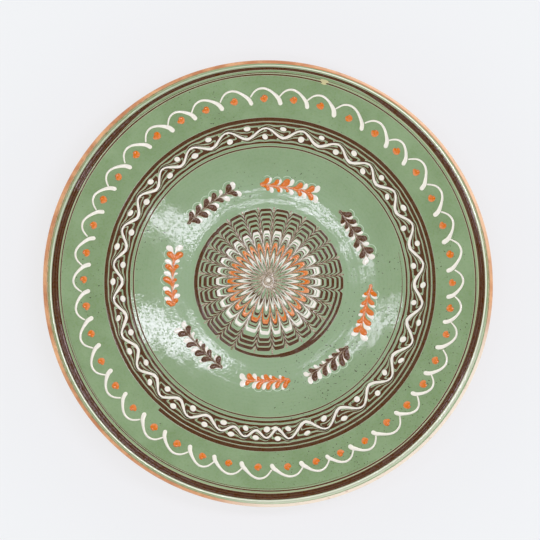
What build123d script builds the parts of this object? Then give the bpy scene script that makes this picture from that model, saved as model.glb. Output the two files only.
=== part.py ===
"""Slip-trailed glazed plate: a thrown red clay body with a foot ring, a coat of green slip over its face,
and every trailed, dotted and combed deposit of cream, brown and orange slip as its own solid on that coat.

Millimetres. Origin on the table under the middle of the foot ring, +Z up out of the well.
"""

import os
from math import asin, atan2, cos, degrees, radians, sin, sqrt

from build123d import *

# ---- Driving dimensions -------------------------------------------------------------------------------

RIM_R = 150.0  # outermost radius of the lip
FLOOR_Z = 14.0  # clay surface in the middle of the well
WALL_T = 7.5  # clay thickness, measured straight down
COAT_T = 0.5  # green slip coat
COAT_EDGE_R = 147.7  # the coat stops here, on the outer side of the lip
LIP_ROLL_R = 3.0  # radius that rolls the lip under
LIP_ROLL = 75.0  # how far it rolls, in degrees

# Face of the clay: (radius, slope in degrees) where each arc or cone of the profile ends.
CREST_R = 145.3
WELL_FLAT_R = 38.0
WELL_R = 92.0
WALL_R = 102.5
SHOULDER_R = 113.0
BRIM_R = 139.5
COAT_EDGE_SLOPE = -degrees(asin((COAT_EDGE_R - CREST_R) / (RIM_R - CREST_R)))
FACE = [
    (0.0, 0.0),
    (WELL_FLAT_R, 0.0),
    (WELL_R, 14.0),
    (WALL_R, 26.0),
    (SHOULDER_R, 20.0),
    (BRIM_R, 20.0),
    (CREST_R, 0.0),
    (COAT_EDGE_R, COAT_EDGE_SLOPE),
]

FOOT_OUTER_R = 61.5
FOOT_INNER_R = 54.5
FOOT_ROOT_R = 64.0
FOOT_EDGE = 0.7
FOOT_FLARE = (0.9, 1.4)  # outwards and down, from the root of the foot to its straight side
RECESS_CORNER = ((1.2, 1.2), (2.6, 0.0))  # inwards from the foot and below the recess
RECESS_Z = 6.0

TRAIL_H = 0.6  # height of a trailed line above the coat
DOT_H = 0.8
COMB_H = 0.35  # the combed rings lie almost flush
GAP = 0.25  # bare coat left between two deposits that would otherwise touch

# Lines turned on the wheel: (inner radius, outer radius)
BRIM_BANDS = {
    "brim_band_outer_turn": (143.15, 144.7),
    "brim_band_middle_turn": (141.55, 142.85),
    "brim_band_inner_turn": (140.0, 141.25),
    "brim_fine_line": (138.3, 139.0),
}
WAVE_BORDERS = {
    "wave_border_outer_turn": (109.0, 110.9),
    "wave_border_second_turn": (106.4, 107.6),
    "wave_border_inner_turn": (92.9, 94.3),
    "wave_border_fine_line": (90.5, 91.2),
}

# Scalloped border of the brim: the angle at which each hand-trailed stroke starts
SCALLOP_STARTS = [
    4.3, 13.7, 22.8, 32.2, 41.8, 49.9, 59.2, 69.0, 78.0, 86.8, 95.9,
    105.2, 114.3, 122.7, 131.4, 140.3, 148.9, 157.2, 165.8, 174.6, 182.9,
    191.5, 200.4, 209.5, 218.1, 226.9, 235.7, 244.8, 253.2, 262.2, 271.4,
    280.7, 289.1, 297.2, 305.5, 314.9, 323.0, 330.8, 339.5, 348.0, 356.1,
]  # fmt: skip
SCALLOP_W = 1.6
SCALLOP_FOOT_R = 120.0
SCALLOP_JOIN_R = 124.8
SCALLOP_TOP_R = 130.3
BRIM_DOT_R = 2.1
BRIM_DOT_RING_R = 122.9

# Wave of the middle band: the angle of each outer crest. The last three, short waves close the round
WAVE_CRESTS = [
    277.6, 292.0, 307.3, 322.2, 337.5, 352.2, 367.0, 382.3, 396.0,
    409.4, 423.1, 437.4, 451.0, 465.6, 479.9, 493.0, 506.4, 519.4,
    532.8, 546.1, 559.7, 573.1, 586.2, 598.9, 612.0, 621.2, 629.4,
]  # fmt: skip
SHORT_WAVES = 3
WAVE_MID_R = 100.7
WAVE_CORNER = 4.8  # from the middle line to each corner of the zigzag that is rounded into the wave
WAVE_BEND = 4.8
SHORT_CORNER = 3.4
SHORT_BEND = 2.0
WAVE_W = 1.6
WAVE_DOT = (2.0, 1.5)
WAVE_DOT_OUTER_R = 104.0
WAVE_DOT_INNER_R = 98.0
# Brown lines that the wave pushed aside, so that they follow it: (near edge, far edge) from its middle
WAVE_SHADOW = (1.05, 1.75)

# Combed rosette: the angle of each stroke of the comb
SPOKES = [
    6.8, 20.5, 34.6, 47.8, 60.9, 72.3, 85.8, 98.0, 110.5,
    123.0, 135.6, 148.1, 160.1, 172.0, 185.4, 198.5, 211.7, 226.6,
    240.9, 258.2, 273.5, 286.0, 300.2, 313.8, 327.3, 340.5, 354.0,
]  # fmt: skip
ROSETTE_BANDS = {
    "rosette_brown_ring_1": (48.2, 49.8),
    "rosette_brown_ring_2": (45.2, 46.8),
    "rosette_brown_ring_3": (41.9, 43.5),
    "rosette_brown_ring_4": (38.6, 40.1),
    "rosette_brown_ring_5": (35.8, 37.1),
    "rosette_cream_ring_outer": (33.1, 35.4),
    "rosette_brown_ring_6": (31.3, 32.1),
    "rosette_brown_ring_7": (28.3, 29.5),
    "rosette_orange_ring": (24.8, 27.6),
    "rosette_brown_ring_8": (22.9, 24.1),
    "rosette_cream_ring_inner": (18.3, 21.3),
    "rosette_brown_ring_9": (14.6, 16.8),
}
COMB_RUN = 36.0  # length of a stroke of the comb
ROSETTE_DEEPEST_CUSP = 3.4
ROSETTE_SHALLOW_CUSP = 1.0
CUSP_LIMIT = 0.09  # of the ring's radius: a deeper cusp would run into the next one
SWIRL_R = 8.0
CENTRE_DOT_R = 1.7

# Sprigs: (angle, radius, lean off the tangent, length, slip of the leaves)
SPRIGS = [
    (125.9, 63.6, -2.8, 38.0, "brown"),
    (77.4, 64.4, 3.0, 38.5, "orange"),
    (28.7, 65.5, 0.7, 36.5, "brown"),
    (-16.2, 67.7, 5.1, 36.0, "orange"),
    (-53.9, 66.3, 1.7, 35.5, "brown"),
    (-92.0, 65.2, 2.0, 35.0, "orange"),
    (-137.4, 61.9, 1.0, 38.0, "brown"),
    (176.0, 63.8, 2.1, 39.5, "orange"),
]
LEAF_PAIRS = 5
LEAF_HEAD_R = 1.8
LEAF_REACH = 3.3  # from the spine to the middle of a leaf's head
LEAF_SWEEP = 4.2  # how far a leaf's tail is drawn back along the spine
DAB_R = 1.05  # cream dab ahead of each leaf
SPINE_W = 1.1
SPRIG_ROOM = (10.0, 12.0)  # a sprig lies within these distances inside and outside its radius


# ---- Profile of the face ------------------------------------------------------------------------------


def arc_steps():
    """(start radius, end radius, start slope in radians, signed arc radius or None, start height)."""
    steps, height = [], FLOOR_Z
    for (r0, slope0), (r1, slope1) in zip(FACE, FACE[1:]):
        a0, a1 = radians(slope0), radians(slope1)
        bend = None if slope0 == slope1 else (r1 - r0) / (sin(a1) - sin(a0))
        steps.append((r0, r1, a0, bend, height))
        height += (r1 - r0) * sin(a0) / cos(a0) if bend is None else bend * (cos(a0) - cos(a1))
    return steps


STEPS = arc_steps()


def face_z(r):
    """Height of the clay's face at a radius."""
    r0, _, a0, bend, height = next(s for s in STEPS if r <= s[1] + 1e-9)
    if bend is None:
        return height + (r - r0) * sin(a0) / cos(a0)
    tilt = asin(sin(a0) + (r - r0) / bend)
    return height + bend * (cos(a0) - cos(tilt))


def face_edges(r_in, r_out, lift):
    """The face's profile from one radius to another, lifted straight up, as lines and arcs."""
    radii = [r_in] + [s[0] for s in STEPS if r_in < s[0] < r_out] + [r_out]
    edges = []
    for a, b in zip(radii, radii[1:]):
        middle = (a + b) / 2
        straight = next(s for s in STEPS if middle <= s[1])[3] is None
        ends = [(r, 0, face_z(r) + lift) for r in (a, middle, b)]
        edges.append(Line(ends[0], ends[2]) if straight else ThreePointArc(*ends))
    return edges


def turned(edges):
    """The solid of revolution of a closed profile in the XZ plane."""
    return revolve(make_face(Wire(edges)), Axis.Z)


def skin(r_in, r_out, low, high):
    """A layer that follows the face between two radii, from one lift above the clay to another."""
    sides = [Line((r, 0, face_z(r) + low), (r, 0, face_z(r) + high)) for r in (r_in, r_out) if r > 0]
    if r_in == 0:
        sides.append(Line((0, 0, FLOOR_Z + low), (0, 0, FLOOR_Z + high)))
    return turned(face_edges(r_in, r_out, low) + face_edges(r_in, r_out, high) + sides)


def turned_line(span, height):
    """A line of slip laid on the coat while the wheel turns."""
    return skin(span[0], span[1], COAT_T, COAT_T + height)


def laid(outline, span, height):
    """A flat outline laid on the coat, inside a span of radii that holds it."""
    if span[1] <= WELL_FLAT_R:
        return Pos(0, 0, FLOOR_Z + COAT_T) * extrude(outline, amount=height)
    return extrude(outline, amount=FLOOR_Z * 4) & skin(span[0], span[1], COAT_T, COAT_T + height)


# ---- Body and coat ------------------------------------------------------------------------------------


def clay_body():
    crest = face_z(CREST_R)
    lip_bend = RIM_R - CREST_R
    lip_low = crest - lip_bend
    under = radians(LIP_ROLL)
    lip_mid = (COAT_EDGE_R + RIM_R) / 2
    lip_mid_z = lip_low + sqrt(lip_bend**2 - (lip_mid - CREST_R) ** 2)
    roll_at = [
        (RIM_R - LIP_ROLL_R * (1 - cos(a)), 0, lip_low - LIP_ROLL_R * sin(a))
        for a in (0, under / 2, under)
    ]
    edges = face_edges(0, COAT_EDGE_R, 0)
    edges.append(
        ThreePointArc(
            (COAT_EDGE_R, 0, face_z(COAT_EDGE_R)), (lip_mid, 0, lip_mid_z), (RIM_R, 0, lip_low)
        )
    )
    edges.append(ThreePointArc(*roll_at))
    edges.append(Line(roll_at[2], (BRIM_R, 0, face_z(BRIM_R) - WALL_T)))
    edges += face_edges(FOOT_ROOT_R, BRIM_R, -WALL_T)
    root_z = face_z(FOOT_ROOT_R) - WALL_T
    foot = [
        (FOOT_ROOT_R, 0, root_z),
        (FOOT_OUTER_R + FOOT_FLARE[0], 0, root_z - FOOT_FLARE[1]),
        (FOOT_OUTER_R, 0, FOOT_EDGE),
        (FOOT_OUTER_R - FOOT_EDGE, 0, 0),
        (FOOT_INNER_R + FOOT_EDGE, 0, 0),
        (FOOT_INNER_R, 0, FOOT_EDGE),
        *((FOOT_INNER_R - inwards, 0, RECESS_Z - below) for inwards, below in RECESS_CORNER),
        (0, 0, RECESS_Z),
        (0, 0, FLOOR_Z),
    ]
    edges += [Line(a, b) for a, b in zip(foot, foot[1:])]
    return turned(edges)


# ---- Flat outlines ------------------------------------------------------------------------------------


def at(r, angle):
    return Vector(r * cos(radians(angle)), r * sin(radians(angle)))


def scallop_gap(i):
    """Angles at which one stroke starts and the next one starts."""
    after = SCALLOP_STARTS[i + 1] if i + 1 < len(SCALLOP_STARTS) else SCALLOP_STARTS[0] + 360
    return SCALLOP_STARTS[i], after


def scallop(i):
    """One stroke: a short foot, then an arch that stops just short of the next stroke."""
    start, after = scallop_gap(i)
    clear = degrees((SCALLOP_W + GAP) / SCALLOP_JOIN_R)
    foot = Line(at(SCALLOP_FOOT_R, start), at(SCALLOP_JOIN_R, start))
    arch = ThreePointArc(
        at(SCALLOP_JOIN_R, start),
        at(SCALLOP_TOP_R, (start + after) / 2),
        at(SCALLOP_JOIN_R, after - clear),
    )
    return trace([foot, arch], line_width=SCALLOP_W)


def brim_dot(i):
    return Pos(at(BRIM_DOT_RING_R, sum(scallop_gap(i)) / 2)) * Circle(BRIM_DOT_R)


def wave_troughs():
    return [(a + b) / 2 for a, b in zip(WAVE_CRESTS, WAVE_CRESTS[1:] + [WAVE_CRESTS[0] + 360])]


def wave_middle():
    """The wave's middle line, closed."""
    corners, bends = [], []
    for i, (crest, trough) in enumerate(zip(WAVE_CRESTS, wave_troughs())):
        short = i >= len(WAVE_CRESTS) - SHORT_WAVES
        reach = SHORT_CORNER if short else WAVE_CORNER
        corners += [at(WAVE_MID_R + reach, crest), at(WAVE_MID_R - reach, trough)]
        bends += [SHORT_BEND if short else WAVE_BEND] * 2
    return make_face(FilletPolyline(*corners, radius=bends, close=True))


def wave_dot(r, angle):
    return Pos(at(r, angle)) * Rot(0, 0, angle + 90) * Ellipse(*WAVE_DOT)


def combed_outline(radius):
    """A circle whose edge the comb has drawn inwards to a cusp at each spoke."""
    share = (ROSETTE_BANDS["rosette_brown_ring_1"][1] - radius) / COMB_RUN
    depth = ROSETTE_SHALLOW_CUSP + (ROSETTE_DEEPEST_CUSP - ROSETTE_SHALLOW_CUSP) * share
    depth = min(depth, CUSP_LIMIT * radius)
    spokes = SPOKES + [SPOKES[0] + 360]
    arcs = [
        ThreePointArc(at(radius - depth, a), at(radius, (a + b) / 2), at(radius - depth, b))
        for a, b in zip(spokes, spokes[1:])
    ]
    return make_face(Wire(arcs))


def leaf(x, side):
    """A dab of slip whose inner side was dragged back along the spine to a tail."""
    back = degrees(atan2(-LEAF_REACH, -LEAF_SWEEP))
    head = [Vector(x, LEAF_REACH) + at(LEAF_HEAD_R, back + turn) for turn in range(80, 281, 25)]
    tail = Vector(x - LEAF_SWEEP, 0)
    corners = [Vector(p.X, side * p.Y) for p in head + [tail]]
    return make_face(Polyline(*corners, close=True))


def sprig(angle, radius, lean, length):
    """(cream dabs, coloured leaves) of one sprig, its heads pointing clockwise round the plate."""
    ahead = LEAF_HEAD_R + GAP + DAB_R
    step = (length - LEAF_SWEEP - ahead - DAB_R) / (LEAF_PAIRS - 1)
    heads = [LEAF_SWEEP - length / 2 + i * step for i in range(LEAF_PAIRS)]
    colour = Pos((heads[0] + heads[-1]) / 2 - LEAF_SWEEP, 0) * Rectangle(heads[-1] - heads[0] + 2, SPINE_W)
    cream = Sketch()
    for x in heads:
        for side in (1, -1):
            colour += leaf(x, side)
            cream += Pos(x + ahead, side * LEAF_REACH) * Circle(DAB_R)
    place = Pos(at(radius, angle)) * Rot(0, 0, angle - 90 + lean)
    return place * cream, place * colour


# ---- All sub-parts ------------------------------------------------------------------------------------


def brim_parts():
    parts = {name: turned_line(span, TRAIL_H) for name, span in BRIM_BANDS.items()}
    span = (SHOULDER_R, BRIM_R)
    count = len(SCALLOP_STARTS)
    strokes = Sketch() + [scallop(i) for i in range(count)]
    dots = Sketch() + [brim_dot(i) for i in range(count)]
    parts["scallop_strokes_cream"] = laid(strokes, span, TRAIL_H)
    parts["scallop_dots_orange"] = laid(dots, span, DOT_H)
    return parts


def wave_parts():
    parts = {name: turned_line(span, TRAIL_H) for name, span in WAVE_BORDERS.items()}
    whole = (WAVE_BORDERS["wave_border_inner_turn"][1], WAVE_BORDERS["wave_border_second_turn"][0])
    middle = wave_middle()
    near, far = WAVE_SHADOW
    stroke = offset(middle, WAVE_W / 2) - offset(middle, -WAVE_W / 2)
    shadow_out = offset(middle, far) - offset(middle, near)
    shadow_in = offset(middle, -near) - offset(middle, -far)
    outer = Sketch() + [wave_dot(WAVE_DOT_OUTER_R, a) for a in wave_troughs()]
    inner = Sketch() + [wave_dot(WAVE_DOT_INNER_R, a) for a in WAVE_CRESTS]
    parts["wave_stroke_cream"] = laid(stroke, whole, TRAIL_H)
    parts["wave_outer_shadow_brown"] = laid(shadow_out, whole, COMB_H)
    parts["wave_inner_shadow_brown"] = laid(shadow_in, whole, COMB_H)
    parts["wave_dots_outer_cream"] = laid(outer, whole, DOT_H)
    parts["wave_dots_inner_cream"] = laid(inner, whole, DOT_H)
    return parts


def rosette_parts():
    parts = {}
    for name, (r_in, r_out) in ROSETTE_BANDS.items():
        ring = combed_outline(r_out) - combed_outline(r_in)
        parts[name] = laid(ring, (SWIRL_R, r_out + GAP), COMB_H)
    parts["rosette_swirl_brown"] = turned_line((CENTRE_DOT_R + GAP, SWIRL_R), COMB_H)
    parts["rosette_centre_dot_cream"] = turned_line((0, CENTRE_DOT_R), DOT_H)
    return parts


def sprig_parts():
    parts = {}
    for number, (angle, radius, lean, length, slip) in enumerate(SPRIGS, 1):
        cream, colour = sprig(angle, radius, lean, length)
        span = (radius - SPRIG_ROOM[0], radius + SPRIG_ROOM[1])
        parts[f"sprig_{number}_dabs_cream"] = laid(cream, span, TRAIL_H)
        parts[f"sprig_{number}_leaves_{slip}"] = laid(colour, span, TRAIL_H)
    return parts


def main():
    os.makedirs("parts", exist_ok=True)
    parts = {
        "clay_body": clay_body(),
        "green_slip_coat": skin(0, COAT_EDGE_R, 0, COAT_T),
        **brim_parts(),
        **wave_parts(),
        **rosette_parts(),
        **sprig_parts(),
    }
    for name, shape in parts.items():
        export_step(Compound(shape.solids()), f"parts/{name}.step")
    print(len(parts), "parts, height", round(face_z(CREST_R) + COAT_T, 2))


main()
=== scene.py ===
"""Looks for the slip-trailed plate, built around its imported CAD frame.

Every piece of slip is a closed skin laid on one surface, the top of the green coat, which is read from
the frame. Lengths are millimetres and angles degrees, counterclockwise round the plate seen from above.
Lamps, floor and camera are in metres, and meshes are scaled to metres when they are made.
"""

import bpy
import numpy as np
from mathutils import Matrix, Vector


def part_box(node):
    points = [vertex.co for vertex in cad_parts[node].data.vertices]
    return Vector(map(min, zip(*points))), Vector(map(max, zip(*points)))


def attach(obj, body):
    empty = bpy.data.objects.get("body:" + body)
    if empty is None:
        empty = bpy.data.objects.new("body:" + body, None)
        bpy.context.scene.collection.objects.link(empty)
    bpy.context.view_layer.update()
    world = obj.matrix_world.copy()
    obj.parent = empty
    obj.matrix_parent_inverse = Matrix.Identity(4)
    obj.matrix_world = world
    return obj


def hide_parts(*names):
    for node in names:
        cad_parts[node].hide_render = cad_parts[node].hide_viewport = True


MM = 0.001
SINK = 0.05  # how far the edge of a deposit lies below the coat's surface
DOME = 0.75  # exponent of a deposit's cross-section: lower is fuller
EDGE_GLINT_WIDTH = 0.3  # width of the painted highlight along a deposit's edge
LINE_HEIGHT = 0.16  # how far turned lines stand above the coat; the other heights follow
BAND_HEIGHT, FINE_LINE_HEIGHT, DROP_HEIGHT = 0.32, 0.12, 0.2
WAVE_HEIGHT, WAVE_END_HEIGHT = 0.5, 0.42
ORANGE_DOT_HEIGHT, CREAM_DOT_HEIGHT, CENTRE_DOT_HEIGHT = 0.75, 0.62, 0.8
VEIN_HEIGHT, SWIRL_HEIGHT, CURL_HEIGHT = 0.12, 0.2, 0.26
rng = np.random.default_rng(41)

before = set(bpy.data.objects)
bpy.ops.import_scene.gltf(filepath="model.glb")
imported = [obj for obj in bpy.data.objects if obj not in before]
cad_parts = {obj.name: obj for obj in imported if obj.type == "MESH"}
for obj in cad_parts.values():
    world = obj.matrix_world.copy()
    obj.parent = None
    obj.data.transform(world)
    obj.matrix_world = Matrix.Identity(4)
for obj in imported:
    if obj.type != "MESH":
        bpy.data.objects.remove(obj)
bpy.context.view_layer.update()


# ---- Reading the frame --------------------------------------------------------------------------------


def node_points(node):
    """All the points of a CAD node, in millimetres."""
    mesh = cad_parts[node].data
    flat = np.empty(len(mesh.vertices) * 3, np.float32)
    mesh.vertices.foreach_get("co", flat)
    return flat.reshape(-1, 3).astype(float) / MM


def bunches(points):
    """Middle (angle, radius) of each bunch of points, in order round the plate."""
    gap = 0.9
    angle = np.degrees(np.arctan2(points[:, 1], points[:, 0])) % 360
    order = np.argsort(angle)
    angle, radius = angle[order], np.hypot(points[order, 0], points[order, 1])
    cuts = np.flatnonzero(np.diff(angle) > gap) + 1
    angles, radii = np.split(angle, cuts), np.split(radius, cuts)
    if len(angles) > 1 and angles[0][0] + 360 - angles[-1][-1] < gap:
        angles[0] = np.concatenate((angles.pop() - 360, angles[0]))
        radii[0] = np.concatenate((radii.pop(), radii[0]))
    return [((a.min() + a.max()) / 2, (r.min() + r.max()) / 2) for a, r in zip(angles, radii)]


def innermost(node, reach):
    """The same, for the points of a node that come within reach of its nearest to the middle of the plate."""
    points = node_points(node)
    radius = np.hypot(points[:, 0], points[:, 1])
    return bunches(points[radius < radius.min() + reach])


def turned_top(node):
    """(radii, heights) of the upper surface of a turned node, from the axis outwards."""
    points = node_points(node)
    radius = np.round(np.hypot(points[:, 0], points[:, 1]), 2)
    radii = np.unique(radius)
    heights = [points[radius == r, 2].max() for r in radii]
    return np.append(0.0, radii), np.append(heights[0], heights)


def turned_section(node):
    """The outline of a turned node as (radius, height): from the axis, over the top and back underneath.

    The flats at its middle, above and below, have no points of their own inside their edges.
    """
    points = node_points(node)
    flat = np.abs(points[:, 1]) < 1e-3
    links = {}
    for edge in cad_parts[node].data.edges:
        a, b = edge.vertices
        if flat[a] and flat[b] and points[a, 0] > -1e-3 and points[b, 0] > -1e-3:
            ends = [tuple(np.round(points[i][[0, 2]], 3) + 0.0) for i in (a, b)]
            if ends[0] != ends[1]:
                links.setdefault(ends[0], set()).add(ends[1])
                links.setdefault(ends[1], set()).add(ends[0])
    path = [max((p for p in links if len(links[p]) == 1), key=lambda p: p[1])]
    ahead = set(links[path[0]])
    while ahead:
        path.append(ahead.pop())
        ahead = links[path[-1]] - set(path)
    return np.array([(0.0, path[0][1])] + path + [(0.0, path[-1][1])])


# ---- The surface that everything lies on ---------------------------------------------------------------


def monotone(x, y, at):
    """A smooth curve through points that never overshoots them."""
    step = np.diff(x)
    slope = np.diff(y) / step
    both = slope[:-1] * slope[1:]
    total = slope[:-1] + slope[1:]
    inner = np.where(both > 0, 2 * both / np.where(total == 0, 1, total), 0)
    tangent = np.concatenate(([slope[0]], inner, [slope[-1]]))
    i = np.clip(np.searchsorted(x, at) - 1, 0, len(step) - 1)
    t = (at - x[i]) / step[i]
    rise = y[i] * (1 + 2 * t) * (1 - t) ** 2 + y[i + 1] * t**2 * (3 - 2 * t)
    return rise + step[i] * t * (1 - t) * (tangent[i] * (1 - t) - tangent[i + 1] * t)


def blurred(values, width):
    """Values smoothed by a bell of that many samples, mirrored at the start and run on at the end."""
    reach = int(3 * width)
    bell = np.exp(-0.5 * (np.arange(-reach, reach + 1) / width) ** 2)
    tail = 2 * values[-1] - values[-2 : -reach - 2 : -1]
    padded = np.concatenate((values[reach:0:-1], values, tail))
    return np.convolve(padded, bell / bell.sum(), "valid")


def smooth_step(low, high, value):
    t = np.clip((value - low) / (high - low), 0, 1)
    return t * t * (3 - 2 * t)


def bell(value, middle, width):
    """1 at the middle, falling off to either side."""
    return np.exp(-(((value - middle) / width) ** 2))


def polar(r, angle):
    """Plan positions of radii and angles."""
    a = np.radians(angle)
    return np.stack((r * np.cos(a), r * np.sin(a)), axis=-1)


def turned(outline, angle):
    """An outline turned counterclockwise."""
    c, s = polar(1.0, angle)
    return outline @ np.array(((c, s), (-s, c)))


def unsteady(travel, amount, seed):
    """A slow wander, as of a hand that rests on the turning wheel."""
    a = np.radians(travel)
    slow = np.sin(2.3 * a + seed) + 0.6 * np.sin(5.1 * a + 2 * seed)
    return amount * (slow + 0.3 * np.sin(11.7 * a + 3 * seed))


def whole_wander(angle, amount, seed):
    """A slow wander that closes on itself after one turn."""
    a = np.radians(angle)
    return amount * (np.sin(2 * a + seed) + 0.6 * np.sin(5 * a + 2 * seed) + 0.4 * np.sin(9 * a + 3 * seed))


FINE = 0.1  # step of the coat's profile
SOFT = 0.7  # how far the profile's corners are rounded
COAT_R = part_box("green_slip_coat")[1].x / MM
COAT_T = 0.5
LIP_R = 150.0
fine_r = np.arange(0, COAT_R + FINE, FINE)
fine_z = blurred(monotone(*turned_top("green_slip_coat"), fine_r), SOFT / FINE)

WAVES = 14  # long, shallow waves of the glaze that break up its highlights
WAVE_SLOPE = 0.0028
THROWN_PITCH, THROWN_HEIGHT = 3.7, 0.007  # fine throwing rings at the edge of the well
BROAD_PITCH, BROAD_HEIGHT = 9.5, 0.02  # broad throwing rings over the whole face
WARP = 0.12  # rise and fall of the brim, as it warped in firing
wave_turn = rng.uniform(0, 2 * np.pi, WAVES)
wave_number = 2 * np.pi / rng.uniform(7, 22, WAVES)
wave_phase = rng.uniform(0, 2 * np.pi, WAVES)


def warp(r, turn):
    """How far the fired plate stands above a true one, turn in radians."""
    return WARP * (r / LIP_R) ** 2 * np.sin(2 * turn + 0.7)


def ground(plan):
    """Height of the coat's surface at plan positions (..., 2)."""
    x, y = plan[..., 0], plan[..., 1]
    r = np.hypot(x, y)
    angle = np.arctan2(y, x)
    z = np.interp(r, fine_r, fine_z)
    for turn, number, phase in zip(wave_turn, wave_number, wave_phase):
        along = x * np.cos(turn) + y * np.sin(turn)
        z = z + WAVE_SLOPE / number * np.sin(number * along + phase)
    thrown = np.sin(2 * np.pi * r / THROWN_PITCH + 1.4 * np.sin(angle + 0.6) + angle)
    z = z + THROWN_HEIGHT * thrown * bell(r, 60, 16)
    broad = np.sin(2 * np.pi * r / BROAD_PITCH + 0.8 * np.sin(angle * 2 + 1))
    z = z + BROAD_HEIGHT * broad * np.clip(r / 60, 0, 1)
    return z + warp(r, angle)


# ---- Closed skins --------------------------------------------------------------------------------------


DEEP_INSIDE = 9.0  # rim distance of a skin that has no painted edge highlight


class Skins:
    """Gathers closed skins, each a stack of sections, into one mesh."""

    def __init__(self):
        self.points, self.films, self.rims = [], [], []
        self.quads, self.caps, self.count = [], [], 0

    def add(self, rows, film, closed, rim=DEEP_INSIDE):
        """rows is (sections, points round a section, 3); film is how thick the slip looks, 0 to 1.

        rim is the distance in from the deposit's edge, where 1 is the width of its painted edge highlight.
        """
        n, m, _ = rows.shape
        index = self.count + np.arange(n * m).reshape(n, m)
        ahead = np.roll(index, -1, axis=0)
        here, there = (index, ahead) if closed else (index[:-1], ahead[:-1])
        quads = np.stack(
            (here, np.roll(here, -1, axis=1), np.roll(there, -1, axis=1), there), axis=-1
        ).reshape(-1, 4)
        flat = rows.reshape(-1, 3)
        a, b, c, d = (flat[quads[:, k] - self.count] - flat.mean(axis=0) for k in range(4))
        volume = np.einsum("ij,ij", a, np.cross(b, c)) + np.einsum("ij,ij", a, np.cross(c, d))
        caps = [] if closed else [index[0][::-1], index[-1]]
        if volume < 0:
            quads = quads[:, ::-1]
            caps = [cap[::-1] for cap in caps]
        self.points.append(flat)
        self.films.append(np.broadcast_to(film, (n, m)).reshape(-1))
        self.rims.append(np.broadcast_to(rim, (n, m)).reshape(-1))
        self.quads.append(quads)
        self.caps += caps
        self.count += n * m

    def build(self, name, material, slot, nodes):
        points = np.concatenate(self.points) * MM
        quads = np.concatenate(self.quads)
        loops = np.concatenate([quads.reshape(-1)] + self.caps).astype(np.int32)
        sizes = np.array([4] * len(quads) + [len(cap) for cap in self.caps], np.int32)
        mesh = bpy.data.meshes.new(name)
        mesh.vertices.add(len(points))
        mesh.vertices.foreach_set("co", points.astype(np.float32).reshape(-1))
        mesh.loops.add(len(loops))
        mesh.loops.foreach_set("vertex_index", loops)
        mesh.polygons.add(len(sizes))
        starts = np.concatenate(([0], np.cumsum(sizes)[:-1]))
        mesh.polygons.foreach_set("loop_start", starts.astype(np.int32))
        mesh.update(calc_edges=True)
        for kind, values in (("film", self.films), ("rim", self.rims)):
            layer = mesh.attributes.new(kind, "FLOAT", "POINT")
            layer.data.foreach_set("value", np.concatenate(values).astype(np.float32))
        mesh.validate()
        mesh.shade_smooth()
        mesh.materials.append(material)
        piece = bpy.data.objects.new(name, mesh)
        bpy.context.scene.collection.objects.link(piece)
        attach(piece, "root")
        if nodes:
            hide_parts(*nodes)


def share(across):
    """Positions across a deposit, closer together at its edges."""
    return (1 - np.cos(np.linspace(0, np.pi, across))) / 2


def ribbon(middle, half, across):
    """Radii across a turned line, at each angle along it."""
    return middle[:, None] + half[:, None] * (2 * share(across) - 1)[None]


def raised(plan, z):
    """Points at plan positions and heights."""
    return np.concatenate((plan, z[..., None]), axis=-1)


def rim_of(inside, width):
    """Distance in from a deposit's edge, measured in widths of its painted edge highlight."""
    return inside / np.minimum(EDGE_GLINT_WIDTH, 0.2 * np.maximum(width, 0.01))


def lay(skins, plan, height, closed=False, film=None):
    """Lays a deposit whose sections run across it at plan positions (sections, points across, 2)."""
    s = share(plan.shape[1])
    dome = (4 * s * (1 - s)) ** DOME
    relief = dome if film is None else dome * (0.45 + 0.55 * film)
    z = ground(plan) - SINK + (height[:, None] + SINK) * relief
    width = widths_of(plan, closed)[:, None]
    rim = rim_of(np.minimum(s, 1 - s) * width, width)
    skins.add(raised(plan, z), dome if film is None else film, closed, rim)


def directions(path, closed=False):
    """Unit steps along a path."""
    step = (np.roll(path, -1, 0) - np.roll(path, 1, 0)) if closed else np.gradient(path, axis=0)
    return step / np.maximum(np.linalg.norm(step, axis=1, keepdims=True), 1e-9)


def stroke(skins, path, half, height, across=7, closed=False, tip=4):
    """Lays a trailed stroke along a path. tip sections round each end and stop just short of a point."""
    half = np.broadcast_to(half, len(path))
    height = np.broadcast_to(height, len(path))
    ahead = directions(path, closed)
    if not closed:
        sweep = np.linspace(0, np.pi / 2 * 0.93, tip + 1)[1:]
        out, keep = np.sin(sweep)[:, None], np.cos(sweep)
        front = path[-1] + ahead[-1] * half[-1] * out
        back = (path[0] - ahead[0] * half[0] * out)[::-1]
        path = np.concatenate((back, path, front))
        ahead = np.concatenate(([ahead[0]] * tip, ahead, [ahead[-1]] * tip))
        half = np.concatenate(((half[0] * keep)[::-1], half, half[-1] * keep))
        height = np.concatenate(((height[0] * keep)[::-1], height, height[-1] * keep))
    side = np.stack((-ahead[:, 1], ahead[:, 0]), axis=-1)
    spread = (2 * share(across) - 1)[None, :, None]
    lay(skins, path[:, None] + side[:, None] * half[:, None, None] * spread, height, closed)


def dab(skins, centre, outline, height, rings=5):
    """Lays a domed dab. outline is (points, 2) round its centre, and rings of it rise to the top."""
    scale = np.cos(np.linspace(0, np.pi / 2, rings + 1)[:-1])
    plan = centre + outline[None] * scale[:, None, None]
    z = ground(plan) - SINK + (height + SINK) * ((1 - scale**2) ** 0.7)[:, None]
    film = np.broadcast_to((1 - scale**2)[:, None], z.shape)
    size = np.linalg.norm(outline, axis=-1)[None]
    rim = rim_of((1 - scale)[:, None] * size, 2 * size)
    skins.add(raised(plan, z), film, False, rim)


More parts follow.
